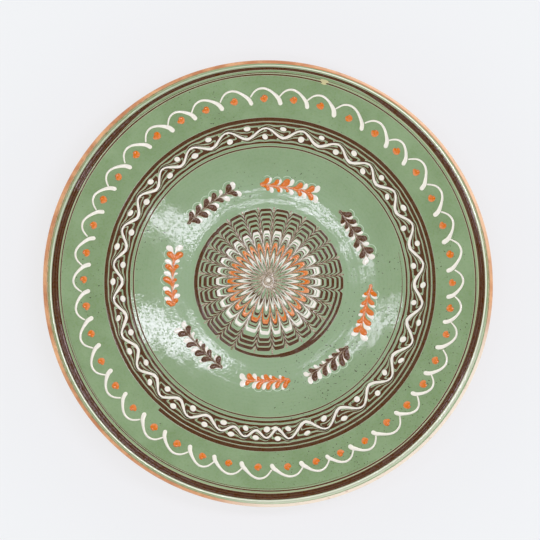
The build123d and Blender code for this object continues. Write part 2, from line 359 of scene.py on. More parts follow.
def curve(knots, count):
    """A smooth path through knots, (knots, columns), evenly sampled by knot."""
    knots = np.asarray(knots, float)
    ends = np.concatenate(([2 * knots[0] - knots[1]], knots, [2 * knots[-1] - knots[-2]]))
    t = np.linspace(0, len(knots) - 1 - 1e-9, count)
    i = t.astype(int)
    t = (t - i)[:, None]
    a, b, c, d = ends[i], ends[i + 1], ends[i + 2], ends[i + 3]
    return 0.5 * (2 * b + (c - a) * t + (2 * a - 5 * b + 4 * c - d) * t**2 + (3 * b - a - 3 * c + d) * t**3)


def widths_of(plan, closed):
    """How wide a laid band really is, square to the way it runs, at each section."""
    middle = plan[:, plan.shape[1] // 2]
    ahead = directions(middle, closed)
    chord = plan[:, -1] - plan[:, 0]
    return np.abs(ahead[:, 0] * chord[:, 1] - ahead[:, 1] * chord[:, 0])


# ---- Materials -----------------------------------------------------------------------------------------


class Looks:
    """A material under construction: a Principled shader and short names for the nodes that feed it."""

    def __init__(self, name):
        self.material = bpy.data.materials.new(name)
        self.material.use_nodes = True
        self.tree = self.material.node_tree
        self.tree.nodes.clear()
        self.shader = self.node("ShaderNodeBsdfPrincipled")
        out = self.node("ShaderNodeOutputMaterial")
        self.tree.links.new(self.shader.outputs[0], out.inputs["Surface"])
        self.place = self.node("ShaderNodeTexCoord").outputs["Object"]

    def node(self, kind, **settings):
        made = self.tree.nodes.new(kind)
        for key, value in settings.items():
            setattr(made, key, value)
        return made

    def feed(self, socket, value):
        """Links an output to a socket, or sets a plain value on it."""
        if isinstance(value, bpy.types.NodeSocket):
            self.tree.links.new(value, socket)
        else:
            socket.default_value = value

    def set(self, **values):
        """Feeds the shader's own sockets by name."""
        for key, value in values.items():
            self.feed(self.shader.inputs[key.replace("_", " ")], value)

    def noise(self, size_mm, detail=2.0, rough=0.5, stretch=None):
        """Noise whose features are about size_mm across, 0 to 1."""
        made = self.node("ShaderNodeTexNoise")
        made.inputs["Scale"].default_value = 1 / (size_mm * MM)
        made.inputs["Detail"].default_value = detail
        made.inputs["Roughness"].default_value = rough
        self.feed(made.inputs["Vector"], stretch or self.place)
        return made.outputs["Fac"]

    def sum(self, operation, a, b=0.0):
        made = self.node("ShaderNodeMath", operation=operation)
        self.feed(made.inputs[0], a)
        self.feed(made.inputs[1], b)
        return made.outputs[0]

    def plus(self, a, b):
        return self.sum("ADD", a, b)

    def minus(self, a, b):
        return self.sum("SUBTRACT", a, b)

    def times(self, a, b):
        return self.sum("MULTIPLY", a, b)

    def span(self, value, low, high, to_low=0.0, to_high=1.0):
        """Runs smoothly from to_low to to_high as value runs from low to high."""
        made = self.node("ShaderNodeMapRange", interpolation_type="SMOOTHSTEP")
        for socket, given in zip(made.inputs, (value, low, high, to_low, to_high)):
            self.feed(socket, given)
        return made.outputs[0]

    def mix(self, factor, a, b):
        made = self.node("ShaderNodeMix", data_type="RGBA")
        self.feed(made.inputs[0], factor)
        self.feed(made.inputs[6], a)
        self.feed(made.inputs[7], b)
        return made.outputs[2]

    def vector(self, operation, a, b=(0, 0, 0)):
        made = self.node("ShaderNodeVectorMath", operation=operation)
        self.feed(made.inputs[0], a)
        self.feed(made.inputs[1], b)
        return made

    def stretched(self, x, y, z):
        """The place in the object, scaled along each axis."""
        return self.vector("MULTIPLY", self.place, (x, y, z)).outputs[0]

    def radius(self):
        """Distance from the plate's axis, in metres."""
        return self.vector("LENGTH", self.stretched(1, 1, 0)).outputs["Value"]

    def bump(self, height, distance_mm, strength, under=None):
        """A normal, tilted by a height pattern over another normal."""
        made = self.node("ShaderNodeBump")
        made.inputs["Strength"].default_value = strength
        made.inputs["Distance"].default_value = distance_mm * MM
        self.feed(made.inputs["Height"], height)
        if under:
            self.feed(made.inputs["Normal"], under)
        return made.outputs[0]

    def layer(self, name):
        """A value that Skins stored on the mesh."""
        return self.node("ShaderNodeAttribute", attribute_name=name).outputs["Fac"]

    def facing(self, angle):
        """1 on the side of the plate at this angle, falling to -1 on the far side."""
        level = self.vector("NORMALIZE", self.stretched(1, 1, 0)).outputs[0]
        return self.vector("DOT_PRODUCT", level, (*polar(1.0, angle).tolist(), 0)).outputs["Value"]

    def line(self, r, at_mm, half_mm, soft_mm=0.25):
        """1 on a turned line of that radius, 0 away from it."""
        off = self.sum("ABSOLUTE", self.minus(r, at_mm * MM))
        return self.span(off, (half_mm + soft_mm) * MM, half_mm * MM)


def rgb(red, green, blue):
    """A linear colour from 0 to 255 display values."""
    value = np.array((red, green, blue)) / 255
    linear = np.where(value <= 0.04045, value / 12.92, ((value + 0.055) / 1.055) ** 2.4)
    return (*linear.tolist(), 1.0)


GREEN_DEEP = rgb(116, 139, 97)
GREEN_PALE = rgb(130, 152, 113)
# paler green of the well and its wall, a painted sheen
GREEN_WELL_SHEEN = rgb(139, 162, 127)
GREEN_THIN = rgb(150, 158, 120)
GLINT = rgb(228, 232, 226)
# painted highlight colour of a pale line just inside the dark band
BRIM_HIGHLIGHT_LINE = rgb(166, 178, 136)
# painted highlight colour of a wide band along the coat's edge at the lower right
EDGE_HIGHLIGHT = rgb(192, 194, 172)
OLIVE_EDGE = rgb(150, 144, 100)
OLIVE_DARK = rgb(96, 88, 52)
# painted highlight colour along the crest of the lip
CREST_HIGHLIGHT = rgb(232, 232, 212)
LIP_RED = rgb(174, 108, 62)
LIP_CLAY = rgb(208, 154, 108)
# colours of the lip where it is painted paler at the right, a painted sheen
LIP_SHEEN_TAN = rgb(222, 180, 146)
LIP_SHEEN_PALE = rgb(222, 208, 192)
IRON = rgb(52, 38, 26)
BROWN = rgb(78, 46, 21)
BROWN_THIN = rgb(100, 68, 38)
BROWN_DARK = rgb(54, 29, 13)
BROWN_DEEP = rgb(66, 32, 10)
# painted highlight colours along the edges of brown slips
EDGE_GLINT_GREEN = rgb(186, 184, 156)
EDGE_GLINT_TAN = rgb(186, 158, 136)
VEIN_TAN = rgb(206, 178, 162)
# painted highlight colour of the glaze ripples
RIPPLE_HIGHLIGHT = rgb(186, 204, 178)
CREAM = rgb(230, 223, 212)
CREAM_THIN = rgb(196, 190, 164)
CREAM_DARK = rgb(222, 208, 196)
ORANGE = rgb(207, 106, 6)
ORANGE_THIN = rgb(212, 130, 84)
ORANGE_DARK = rgb(196, 90, 6)
ORANGE_MILKY = rgb(232, 172, 130)
KHAKI = rgb(190, 180, 136)
MIXED_TAN = rgb(178, 160, 138)
MIXED_OLIVE = rgb(122, 106, 78)
# pinkish painted glints in the rosette's mixed slip
PINK_GLINT = rgb(224, 208, 196)
SALMON = rgb(242, 192, 156)
SALMON_DEEP = rgb(224, 120, 60)
CLAY_DEEP = rgb(176, 98, 62)
CLAY_PALE = rgb(204, 128, 88)
CLAY_DUST = rgb(222, 160, 124)
CLAY_BURNT = rgb(150, 74, 44)
FLOOR_GREY = rgb(120, 121, 122)
FLOOR_GLOW = rgb(240, 241, 243)


# Radii in the green coat: two painted highlight lines, one just inside the dark band and one on the crest, a
# wider painted highlight at its edge, and where it turns olive and gives way to bare clay
BRIM_HIGHLIGHT_LINE_R, CREST_R, EDGE_HIGHLIGHT_R = 139.6, 144.95, 145.9
OLIVE_FROM, OLIVE_TO, OLIVE_DARK_R = 145.7, 146.4, 146.9
LIP_FROM, LIP_TO = 146.6, 147.8
BARE_LIP = (146.2 * MM, 147.2 * MM)  # where the body's own colour turns to the lip's


def glaze(looks, colour, peel_mm=0.03, coat=1.0):
    """A clear glaze over a slip's colour: fine orange peel, and a grain that shines more and less, painted a
    little paler where it shines more, a painted glint.

    coat is how much of the glaze's shine is left where the slip is matt.
    """
    broad = looks.noise(3.4, 1.0)
    close = looks.noise(1.4, 1.0, 0.6)
    grain = looks.span(close, 0.38, 0.48)
    peel = looks.bump(broad, peel_mm, 0.5)
    peel = looks.bump(close, peel_mm, 1.0, peel)
    # the base colour is painted a little paler where the grain shines more: a painted glint
    looks.set(
        Base_Color=looks.mix(looks.times(grain, 0.04 * coat), colour, GLINT), Normal=peel,
        Roughness=0.5, Specular_IOR_Level=0.0, Coat_Weight=looks.span(grain, 0.0, 1.0, 0.2 * coat, coat),
        Coat_Roughness=0.085, Coat_IOR=1.5, Coat_Normal=peel,
    )


def lip_sheen_zones(looks):
    """1 where the lip is painted paler, at the upper right and at the lower right: a painted sheen, as lit
    from the right.
    """
    return looks.span(looks.facing(40), 0.72, 0.95), looks.span(looks.facing(305), 0.6, 0.85)


def lip_colour(looks):
    """Bare red clay, streaked, but for the two zones of the lip that are painted paler, a painted sheen."""
    sheen_upper_right, sheen_lower_right = lip_sheen_zones(looks)
    streak = looks.span(looks.noise(18, 4.0, 0.6), 0.38, 0.68)
    red = looks.mix(streak, LIP_RED, LIP_CLAY)
    return looks.mix(sheen_lower_right, looks.mix(sheen_upper_right, red, LIP_SHEEN_TAN), LIP_SHEEN_PALE)


def clouded_green(looks, r):
    """The coat's colour: cloudy, with faint dark rings where it was thrown, and painted paler towards the
    well, a painted sheen of reflected light.
    """
    cloud = looks.noise(26, 3.0, 0.55)
    grain = looks.noise(1.6, 3.0, 0.6)
    green = looks.mix(looks.span(cloud, 0.3, 0.72), GREEN_DEEP, GREEN_PALE)
    # painted sheen: the green is painted paler inside 118 mm and paler still inside 85 mm
    wall = looks.span(r, 118 * MM, 95 * MM, 0.0, 0.5)
    well = looks.span(r, 85 * MM, 60 * MM, 0.0, 0.5)
    green = looks.mix(looks.plus(wall, well), green, GREEN_WELL_SHEEN)
    green = looks.mix(looks.times(looks.span(grain, 0.45, 0.75), 0.16), green, GREEN_THIN)
    rings = looks.plus(looks.times(r, 2.4 / MM), looks.times(looks.noise(30, 1.0), 9.0))
    return looks.mix(looks.span(looks.sum("SINE", rings), 0.2, 1.0, 0.0, 0.09), green, GREEN_DEEP)


def iron_specks(looks, green):
    """Dark specks scattered through the coat, more of them at the lower right."""
    thick = looks.span(looks.facing(318), 0.75, 0.97)
    where = looks.plus(looks.noise(48, 1.0), looks.times(thick, 0.2))
    specks = looks.plus(looks.noise(1.15, 0.0), looks.times(thick, 0.03))
    speck = looks.times(looks.span(specks, 0.775, 0.80), looks.span(where, 0.5, 0.62))
    return looks.mix(looks.times(speck, 0.85), green, IRON)


def green_slip():
    """The coat: green up to the brim, with painted highlights along a line inside the band, along its crest
    and at its edge, and thinned to olive before the lip's bare clay.
    """
    looks = Looks("green_slip_glazed")
    r = looks.radius()
    green = iron_specks(looks, clouded_green(looks, r))
    # painted highlight: a pale line just inside the dark band
    green = looks.mix(looks.times(looks.line(r, BRIM_HIGHLIGHT_LINE_R, 0.25), 0.6), green, BRIM_HIGHLIGHT_LINE)
    # painted highlight along the crest, fainter at the upper left
    crest_highlight_strength = looks.span(looks.facing(130), 0.55, 0.95, 0.9, 0.4)
    green = looks.mix(looks.times(looks.line(r, CREST_R, 0.25, 0.3), crest_highlight_strength), green, CREST_HIGHLIGHT)
    sheen_upper_right, sheen_lower_right = lip_sheen_zones(looks)
    streaks = looks.noise(3.5, 3.0, 0.6, looks.stretched(1, 1, 4))
    edge = looks.plus(r, looks.times(looks.minus(streaks, 0.5), 1.6 * MM))
    # where the lip is painted paler, the olive edge and the bare clay begin a little nearer the middle at the
    # upper right and further out at the lower right
    edge = looks.minus(looks.plus(edge, looks.times(sheen_upper_right, 0.3 * MM)), looks.times(sheen_lower_right, 2.2 * MM))
    # painted highlight: a wide pale band along the coat's edge at the lower right
    pale = looks.times(looks.line(r, EDGE_HIGHLIGHT_R, 0.7, 0.5), looks.times(sheen_lower_right, 0.75))
    green = looks.mix(pale, green, EDGE_HIGHLIGHT)
    green = looks.mix(looks.span(edge, OLIVE_FROM * MM, OLIVE_TO * MM), green, OLIVE_EDGE)
    green = looks.mix(looks.span(edge, LIP_FROM * MM, LIP_TO * MM), green, lip_colour(looks))
    green = looks.mix(looks.times(looks.line(edge, OLIVE_DARK_R, 0.15), 0.7), green, OLIVE_DARK)
    glaze(looks, green)
    return looks.material


def slip(name, body, thin, dark, thin_at=0.35, mottle=0.22, rim=None, coat=1.0, marbled=None):
    """A trailed slip: body where it is thick, thin at its edges, clouded with dark.

    rim is the colour of a painted highlight along the slip's edge, and marbled that of fine veins of another
    slip.
    """
    looks = Looks(name)
    film = looks.layer("film")
    cloud = looks.span(looks.noise(3.2, 3.0, 0.6), 0.42, 0.75)
    colour = looks.mix(looks.times(cloud, mottle), body, dark)
    if marbled:
        vein = looks.sum("ABSOLUTE", looks.minus(looks.noise(2.2, 3.0, 0.7), 0.5))
        colour = looks.mix(looks.span(vein, 0.026, 0.0, 0.0, 0.35), colour, marbled)
    uneven = looks.plus(film, looks.times(looks.noise(0.8, 1.0), 0.2))
    colour = looks.mix(looks.span(uneven, thin_at + 0.1, 0.08), colour, thin)
    if rim:
        # painted highlight along the deposit's edge
        colour = looks.mix(looks.span(looks.layer("rim"), 1.1, 0.7), colour, rim)
    glaze(looks, colour, 0.025, coat)
    return looks.material


def mixed_slip(name, pale, deep, glint, dark):
    """Where slips have been drawn together: pale and deep clouds with fine glints and dark grains."""
    looks = Looks(name)
    cloud = looks.noise(1.7, 3.0, 0.6)
    fine = looks.noise(0.7, 2.0)
    colour = looks.mix(looks.span(cloud, 0.36, 0.62), pale, deep)
    colour = looks.mix(looks.span(fine, 0.52, 0.72, 0.0, 0.6), colour, glint)
    colour = looks.mix(looks.span(fine, 0.46, 0.3, 0.0, 0.45), colour, dark)
    glaze(looks, colour, 0.025)
    return looks.material


def ripple_highlight_glaze():
    """Clear glaze heaped in a fine ripple, painted paler than the slip under it: a painted highlight on its
    ridge.
    """
    looks = Looks("glaze_ripple_painted_highlight")
    glaze(looks, RIPPLE_HIGHLIGHT, 0.025)
    return looks.material


def red_clay():
    """Bare fired clay, dusty and clouded, shinier and scorched in places along the lip."""
    looks = Looks("red_clay_fired")
    cloud = looks.noise(14, 3.0, 0.6)
    grain = looks.noise(0.5, 2.0)
    colour = looks.mix(looks.span(cloud, 0.35, 0.7), CLAY_DEEP, CLAY_PALE)
    colour = looks.mix(looks.span(grain, 0.5, 0.8, 0.0, 0.35), colour, CLAY_DUST)
    lip = looks.span(looks.radius(), *BARE_LIP)
    # the lip's colour, with its painted sheen at the right, over the bare clay
    colour = looks.mix(looks.times(lip, 0.9), colour, lip_colour(looks))
    burnt = looks.span(looks.noise(5.5, 2.0), 0.6, 0.7, 0.0, 0.3)
    colour = looks.mix(looks.times(burnt, lip), colour, CLAY_BURNT)
    looks.set(
        Base_Color=colour, Roughness=looks.span(lip, 0.0, 1.0, 0.78, 0.4), IOR=1.45,
        Normal=looks.bump(grain, 0.05, 0.8, looks.bump(cloud, 0.25, 0.6)),
    )
    return looks.material


def floor_looks():
    """A pale floor that glows a little, so that it stays even around the plate."""
    looks = Looks("floor_pale")
    looks.set(Base_Color=FLOOR_GREY, Roughness=0.9, Specular_IOR_Level=0.0)
    looks.set(Emission_Color=FLOOR_GLOW, Emission_Strength=0.78)
    return looks.material


green = green_slip()
cream = slip("cream_slip_glazed", CREAM, CREAM_THIN, CREAM_DARK, 0.12)
# the brown slips carry a painted highlight along their edges
brown = slip("brown_slip_glazed", BROWN, BROWN_THIN, BROWN_DARK, 0.3, rim=EDGE_GLINT_GREEN, coat=0.4)
brown_leaf = slip(
    "brown_slip_feathered", BROWN, BROWN_THIN, BROWN_DARK, 0.3, rim=EDGE_GLINT_TAN, coat=0.4, marbled=VEIN_TAN
)
brown_band = slip("brown_slip_banded", BROWN_DEEP, BROWN_THIN, BROWN_DARK, 0.6, rim=EDGE_GLINT_GREEN, coat=0.4)
khaki = slip("khaki_slip_glazed", KHAKI, KHAKI, KHAKI)
orange = slip("orange_slip_glazed", ORANGE, ORANGE_THIN, ORANGE_DARK, 0.15)
orange_combed = slip("orange_slip_combed", ORANGE, ORANGE_THIN, ORANGE_MILKY, 0.2, mottle=0.75)
# the rosette's mixed slip carries fine pinkish painted glints
mixed = mixed_slip("combed_mixed_slip", MIXED_TAN, MIXED_OLIVE, PINK_GLINT, BROWN)
salmon = mixed_slip("drawn_orange_cream_slip", SALMON, SALMON_DEEP, CREAM, SALMON_DEEP)
ripple = ripple_highlight_glaze()
clay = red_clay()
SLIPS = {"brown": (brown_leaf, mixed), "orange": (orange, salmon)}


# ---- Body and coat -------------------------------------------------------------------------------------


def out_of_round(r, turn):
    """How far the lip stands out past a true circle, turn in radians: the plate dried slightly oval."""
    oval = 0.72 * np.cos(2 * turn + 0.81) - 0.43 * np.cos(turn - 0.87) - 0.5
    return oval * smooth_step(144.6, 148.0, r)


BODY_STEP = 0.25  # step of the body's outline, before it is thinned out
BODY_SOFT = 0.55  # how far its corners are rounded
CLOSE_STEP, WIDE_STEP = 0.5, 2.2  # steps that are kept: close at the lip and the foot, wide elsewhere
FOOT_IN, FOOT_OUT = 50, 66  # the foot ring lies between these radii and has no tool marks
WIDE_GROOVE, WIDE_GROOVE_PITCH = 0.22, 8.2
FINE_GROOVE, FINE_GROOVE_PITCH = 0.08, 2.9


def softened(path):
    """(distance along it, path): sampled evenly, with its corners rounded except at its two ends."""
    length = np.concatenate(([0], np.cumsum(np.linalg.norm(np.diff(path, axis=0), axis=1))))
    at = np.arange(0, length[-1] + BODY_STEP, BODY_STEP)
    path = np.stack([np.interp(at, length, path[:, k]) for k in (0, 1)], axis=-1)
    soft = np.stack([blurred(path[:, k], BODY_SOFT / BODY_STEP) for k in (0, 1)], axis=-1)
    ends = smooth_step(2, 6, np.minimum(at, at[-1] - at))[:, None]
    path = path * (1 - ends) + soft * ends
    path[:, 1] = np.maximum(path[:, 1], 0)
    return at, path


def thinned(path):
    """Which points of the body's outline to keep."""
    foot = int(np.argmin(path[:, 1]))
    keep = [0]
    for i in range(1, len(path)):
        apart = np.linalg.norm(path[i] - path[keep[-1]])
        at_lip = abs(path[i, 0] - 147) < 5
        at_foot = abs(i - foot) < 15 / BODY_STEP
        if apart > (CLOSE_STEP if at_lip or at_foot else WIDE_STEP) or i == len(path) - 1:
            keep.append(i)
    return keep


def tool_marks(r, turn, under):
    """How far the underside stands out of its outline where a tool turned it, inside and outside the foot."""
    outside = smooth_step(FOOT_OUT, FOOT_OUT + 6, r) * smooth_step(149, 146, r) * under
    inside = smooth_step(FOOT_IN, FOOT_IN - 4, r) * smooth_step(1, 8, r) * under
    wide = WIDE_GROOVE * np.sin(2 * np.pi * r / WIDE_GROOVE_PITCH + turn + 0.7 * np.sin(2 * turn))
    fine = FINE_GROOVE * np.sin(2 * np.pi * r / FINE_GROOVE_PITCH + turn)
    return wide * outside + fine * (outside + inside) - 0.25 * outside - 0.08 * inside


def clay_body():
    """The thrown body, its outline read from the frame and softened, with the marks of wheel and tool."""
    at, path = softened(turned_section("clay_body"))
    under = at > at[np.argmax(path[:, 0])]
    keep = thinned(path)
    path, under = path[keep], under[keep][:, None]
    around = np.arange(0, 360, 0.8)
    ahead = directions(path)
    outward = np.stack((-ahead[:, 1], ahead[:, 0]), axis=-1)
    r, z = path[:, 0][:, None], path[:, 1][:, None]
    turn = np.radians(around)[None]
    marks = tool_marks(r, turn, under)
    drop = np.where(~under & (r < COAT_R - 0.4), 0.06, 0.0)  # the body stays under the coat
    radius = r + marks * -outward[:, 0][:, None] + out_of_round(r, turn)
    height = z + marks * -outward[:, 1][:, None] - drop + warp(r, turn) * smooth_step(2, 12, z)
    plan = polar(np.maximum(radius, 0.02), around[None])
    body = Skins()
    body.add(raised(plan, height), 1.0, False)
    body.build("clay_body_thrown", clay, "red_clay", ["clay_body"])


def slip_coat():
    """The green coat: its surface is ground(), and it thins out to nothing on the outside of the lip."""
    radii = np.concatenate((np.linspace(0.05, 136, 172), np.linspace(136.4, COAT_R, 28)))
    around = np.arange(0, 360, 0.9)
    top = ground(polar(radii[:, None], around[None]))
    plan = polar(radii[:, None] + out_of_round(radii[:, None], np.radians(around)[None]), around[None])
    thin = smooth_step(COAT_R - 1.6, COAT_R, radii)[:, None]
    clay_top = top - COAT_T + 0.02  # the coat's underside, just clear of the clay
    top = top - thin * (COAT_T - 0.04)
    below = slice(len(radii) - 2, 0, -14)
    coat = Skins()
    coat.add(np.concatenate((raised(plan, top), raised(plan[below], clay_top[below]))), 1.0, False)
    coat.build("green_coat_glazed", green, "green_slip", ["green_slip_coat"])


# ---- Brim ----------------------------------------------------------------------------------------------

BAND_INNER, BAND_OUTER = 139.8, 144.45  # radii of the dark band's edges
BAND_TURNS = 3  # it was laid in this many turns of the wheel
FINE_LINE_HALF = 0.72
# Angle and radius of the fine line, which was drawn off centre
FINE_LINE = (
    (0, 138.1), (40, 137.7), (100, 139.1), (140, 138.9), (180, 138.3),
    (210, 137.9), (260, 138.2), (310, 139.0), (360, 138.1),
)
# Two short lines beside it: start, sweep, radius, its wander, half width and height
SHORT_LINES = ((52, 88, 140.1, 0.06, 0.36, 0.07), (190, 110, 137.0, 0.05, 0.26, 0.05))
DROP_R, DROP_ANGLE = 139.9, 74.5  # where a drop of slip was spilt on the brim


def brim_band():
    """The dark band: one brushed skin that is narrower where the brush was lifted, at the top."""
    band = Skins()
    around = np.arange(0, 360, 0.5)
    lifted = smooth_step(50, 68, around) * smooth_step(140, 122, around)
    inner = BAND_INNER + 1.9 * lifted - 0.5 * bell(around, 200, 38) + whole_wander(around, 0.07, 0.3)
    outer = BAND_OUTER - 0.45 * bell(around, 60, 35) + whole_wander(around, 0.06, 1.1)
    s = share(25)[None]
    turns = 0.5 + 0.5 * np.cos(2 * np.pi * (BAND_TURNS * s - around[:, None] / 360))
    streaks = 0.5 + 0.5 * np.sin(2 * np.pi * (7.3 * s + np.sin(2 * np.pi * around[:, None] / 360)))
    film = 0.12 + 0.7 * turns**1.5 + 0.18 * streaks
    plan = polar(inner[:, None] + (outer - inner)[:, None] * s, around[:, None])
    lay(band, plan, np.full(len(around), BAND_HEIGHT), True, film)
    band.build(
        "brim_band_turned", brown_band, "brown_slip",
        ["brim_band_outer_turn", "brim_band_middle_turn", "brim_band_inner_turn"],
    )


def brim_fine_line():
    """The fine line all the way round, and two short ones that run beside it."""
    fine = Skins()
    whole = np.arange(0, 360, 1.0)
    radius = np.interp(whole, *np.transpose(FINE_LINE)) + whole_wander(whole, 0.04, 3.0)
    half = FINE_LINE_HALF - 0.2 * bell(whole, 205, 45) + whole_wander(whole, 0.05, 4.0)
    stroke(fine, polar(radius, whole), half, FINE_LINE_HEIGHT, closed=True)
    for start, sweep, middle, wander, widest, height in SHORT_LINES:
        travel = np.arange(0, sweep + 1.0)
        taper = 0.3 + 0.7 * np.sin(np.pi * travel / (sweep + 1))
        half = (widest + unsteady(travel, 0.03, 6.0)) * taper
        stroke(fine, polar(middle + unsteady(travel, wander, 5.0), start + travel), half, height)
    fine.build("brim_fine_line_turned", brown, "brown_slip", ["brim_fine_line"])


def brim_drop():
    """A drop, half round, with its flat side against the dark band."""
    drop = Skins()
    turn = np.radians(np.arange(0, 360, 10))
    outwards = np.where(np.cos(turn) > 0, 0.7, 2.9) * np.cos(turn)
    half_round = np.stack((outwards, 3.3 * np.sin(turn)), axis=-1)
    dab(drop, polar(DROP_R, DROP_ANGLE), turned(half_round, DROP_ANGLE), DROP_HEIGHT)
    drop.build("brim_drop_spilt", khaki, "cream_slip", [])


# Along one scallop: share of the way to the next, radius, half width, and its share of the extra height
SCALLOP = (
    (-0.045, 120.4, 1.46, 0), (-0.02, 121.7, 1.44, 0), (0.02, 123.2, 1.36, 0), (0.1, 124.9, 1.18, 0),
    (0.22, 126.9, 0.94, 0.3), (0.36, 128.7, 0.8, 0.8), (0.52, 129.8, 0.74, 1), (0.67, 129.6, 0.68, 1),
    (0.8, 128.4, 0.62, 0.8), (0.9, 126.5, 0.56, 0.3), (0.965, 124.9, 0.5, 0),
)


def scallops():
    """One trailed stroke from each foot over to the next, none quite like its neighbour."""
    starts = [a for a, _ in innermost("scallop_strokes_cream", 0.6)]
    strokes = Skins()
    for a, b in zip(starts, starts[1:] + [starts[0] + 360]):
        pitch = b - a
        tall = (pitch - 360 / len(starts)) * 0.35 + rng.normal(0, 0.22)
        bow = rng.normal(0, 0.012)
        heavy = rng.uniform(0.92, 1.1)
        stub = 0.38 * bell(a, 285, 40)  # the feet are shorter at the bottom
        knots = [
            (a + (part + bow) * pitch, radius + rise * tall + stub * max(0, SCALLOP[-1][1] - radius),
             half * (heavy if rise == 0 else 1))
            for part, radius, half, rise in SCALLOP
        ]
        path = curve(knots, 46)
        stroke(strokes, polar(path[:, 1], path[:, 0]), path[:, 2], 0.16 + 0.42 * path[:, 2], 9)
    strokes.build("scallop_strokes_trailed", cream, "cream_slip", ["scallop_strokes_cream"])


def brim_dots():
    """Drops with a bite and a tail where the slip trailer let go."""
    dots = Skins()
    turn = np.radians(np.arange(0, 360, 12))
    for angle, radius in bunches(node_points("scallop_dots_orange")):
        size = rng.uniform(2.3, 2.6)
        tail = bell(np.degrees(turn), 95, 22) * rng.uniform(0.06, 0.2)
        bite = bell(np.degrees(turn), 48, 16) * rng.uniform(0.22, 0.38)
        shape = size * (1 + tail - bite + 0.04 * np.sin(3 * turn + rng.uniform(0, 6)))
        outline = polar(shape, np.degrees(turn) + angle)
        place = polar(radius + rng.normal(0, 0.35), angle + rng.normal(0, 0.12))
        dab(dots, place, outline, ORANGE_DOT_HEIGHT)
    dots.build("scallop_dots_trailed", orange, "orange_slip", ["scallop_dots_orange"])


# ---- Wave band -----------------------------------------------------------------------------------------

crests = bunches(node_points("wave_dots_inner_cream"))
troughs = bunches(node_points("wave_dots_outer_cream"))
WAVE_MID = 100.6  # radius of the wave's middle
WAVE_HALF = 0.92  # how far to each side the wave's stroke parts the slip that it crosses
WAVE_REACH = 3.5  # how far it swings, about
# For each row of dots: the turns of the wave that they lie in, their radius and half width
DOT_ROWS = ((troughs, 103.6, 1.65), (crests, 98.0, 1.85))
wave_turns = sorted([(a, 1) for a, _ in crests] + [(a, -1) for a, _ in troughs])
first_turn, last_turn = wave_turns[0], wave_turns[-1]
wave_turns = [(last_turn[0] - 360, last_turn[1])] + wave_turns + [(first_turn[0] + 360, first_turn[1])]
turn_at = np.array([a for a, _ in wave_turns])
turn_side = np.array([side for _, side in wave_turns], float)
slack = (turn_at > 251) & (turn_at < 272)  # where the wave's end was squeezed in beside its start
deep = (turn_at > 275) & (turn_at < 345)  # where it swings further inwards
reach_out = np.where(slack, 3.0, 3.3 + 1.2 * bell(turn_at, 281, 13))
reach_in = np.where(slack, 1.7, np.where(deep, 4.5, 2.9))
turn_reach = np.where(turn_side > 0, reach_out, -reach_in)
turn_reach += rng.normal(0, 0.18, len(turn_reach))
turn_reach[-1], turn_reach[0] = turn_reach[1], turn_reach[-2]


def wave_rise(angle):
    """Height of the wave's middle line, outwards from WAVE_MID, at angles."""
    angle = angle % 360
    i = np.clip(np.searchsorted(turn_at, angle) - 1, 0, len(turn_at) - 2)
    t = (angle - turn_at[i]) / (turn_at[i + 1] - turn_at[i])
    return turn_reach[i] + (turn_reach[i + 1] - turn_reach[i]) * (1 - np.cos(np.pi * t)) / 2


def wave_dot_list():
    """(plan position, half length, half width, tilt) of each cream dot of the band, outer row first."""
    made = []
    for row, radius, wide in DOT_ROWS:
        dots = []
        for angle, _ in row:
            place = polar(radius + rng.normal(0, 0.3), angle + rng.normal(0, 0.25))
            tilt = angle + 90 + rng.normal(-8, 16)
            dots.append((place, rng.uniform(2.0, 2.45), wide + rng.normal(0, 0.1), tilt))
        made.append(dots)
    return made


dot_rows = wave_dot_list()
DRAG = 6.0  # how far the wave's stroke pulled the slip beside it along with it
DRAG_FADE, PART_FADE = 1.1, 2.6  # over what distance that pull, and its push to the sides, die out
# The band's spiral line: angle and radius of its start, its step inwards, and its half width by turns
BORDER_START, BORDER_R, BORDER_PITCH = 229.0, 111.4, 3.0
BORDER_HALF = (
    (0, 1.5), (0.95, 1.5), (1.2, 1.3), (2.2, 1.25), (3, 1.4), (4.8, 1.35),
    (5.4, 1.05), (6.1, 1.1), (6.5, 0.75), (7.3, 0.6), (7.4, 0.2),
)
# Piece, its stretches as (first turn, last turn, step in degrees) and its nodes
BORDERS = (
    ("wave_border_lines_turned", ((0, 1.7, 0.4), (5.7, 7.4, 0.3)), [
        "wave_border_outer_turn", "wave_border_second_turn",
        "wave_border_inner_turn", "wave_border_fine_line",
    ]),
    ("wave_ground_outer_dragged", ((1.7, 3.3, 0.16),), ["wave_outer_shadow_brown"]),
    ("wave_ground_inner_dragged", ((3.3, 5.7, 0.16),), ["wave_inner_shadow_brown"]),
)
# Angle, radius and half width along the end of the wave, which runs over its start
WAVE_END = ((276.2, 102.8, 0.5), (274.9, 100.0, 0.75), (273.2, 97.0, 0.95), (271.6, 97.4, 0.7))


def dragged(radius, angle):
    """Where the wave's stroke and the dots leave slip that lay at these radii and angles."""
    rise = wave_rise(angle)
    apart = radius - WAVE_MID - rise
    drag = DRAG * np.exp(-np.abs(apart) / DRAG_FADE)
    moved = angle + np.degrees(drag / radius)
    parted = apart + np.tanh(apart / 0.12) * WAVE_HALF * np.exp(-np.abs(apart) / PART_FADE)
    plan = polar(WAVE_MID + wave_rise(moved) + parted, moved)
    for dots in dot_rows:
        for place, long, wide, _ in dots:
            near = np.abs(plan - place).max(axis=-1) < 7
            away = plan[near] - place
            square = np.maximum((away**2).sum(axis=-1, keepdims=True), 0.01)
            push = np.sqrt(1 + (0.8 * long * wide) * np.exp(-square / 14) / square)
            plan[near] = place + away * push
    return plan


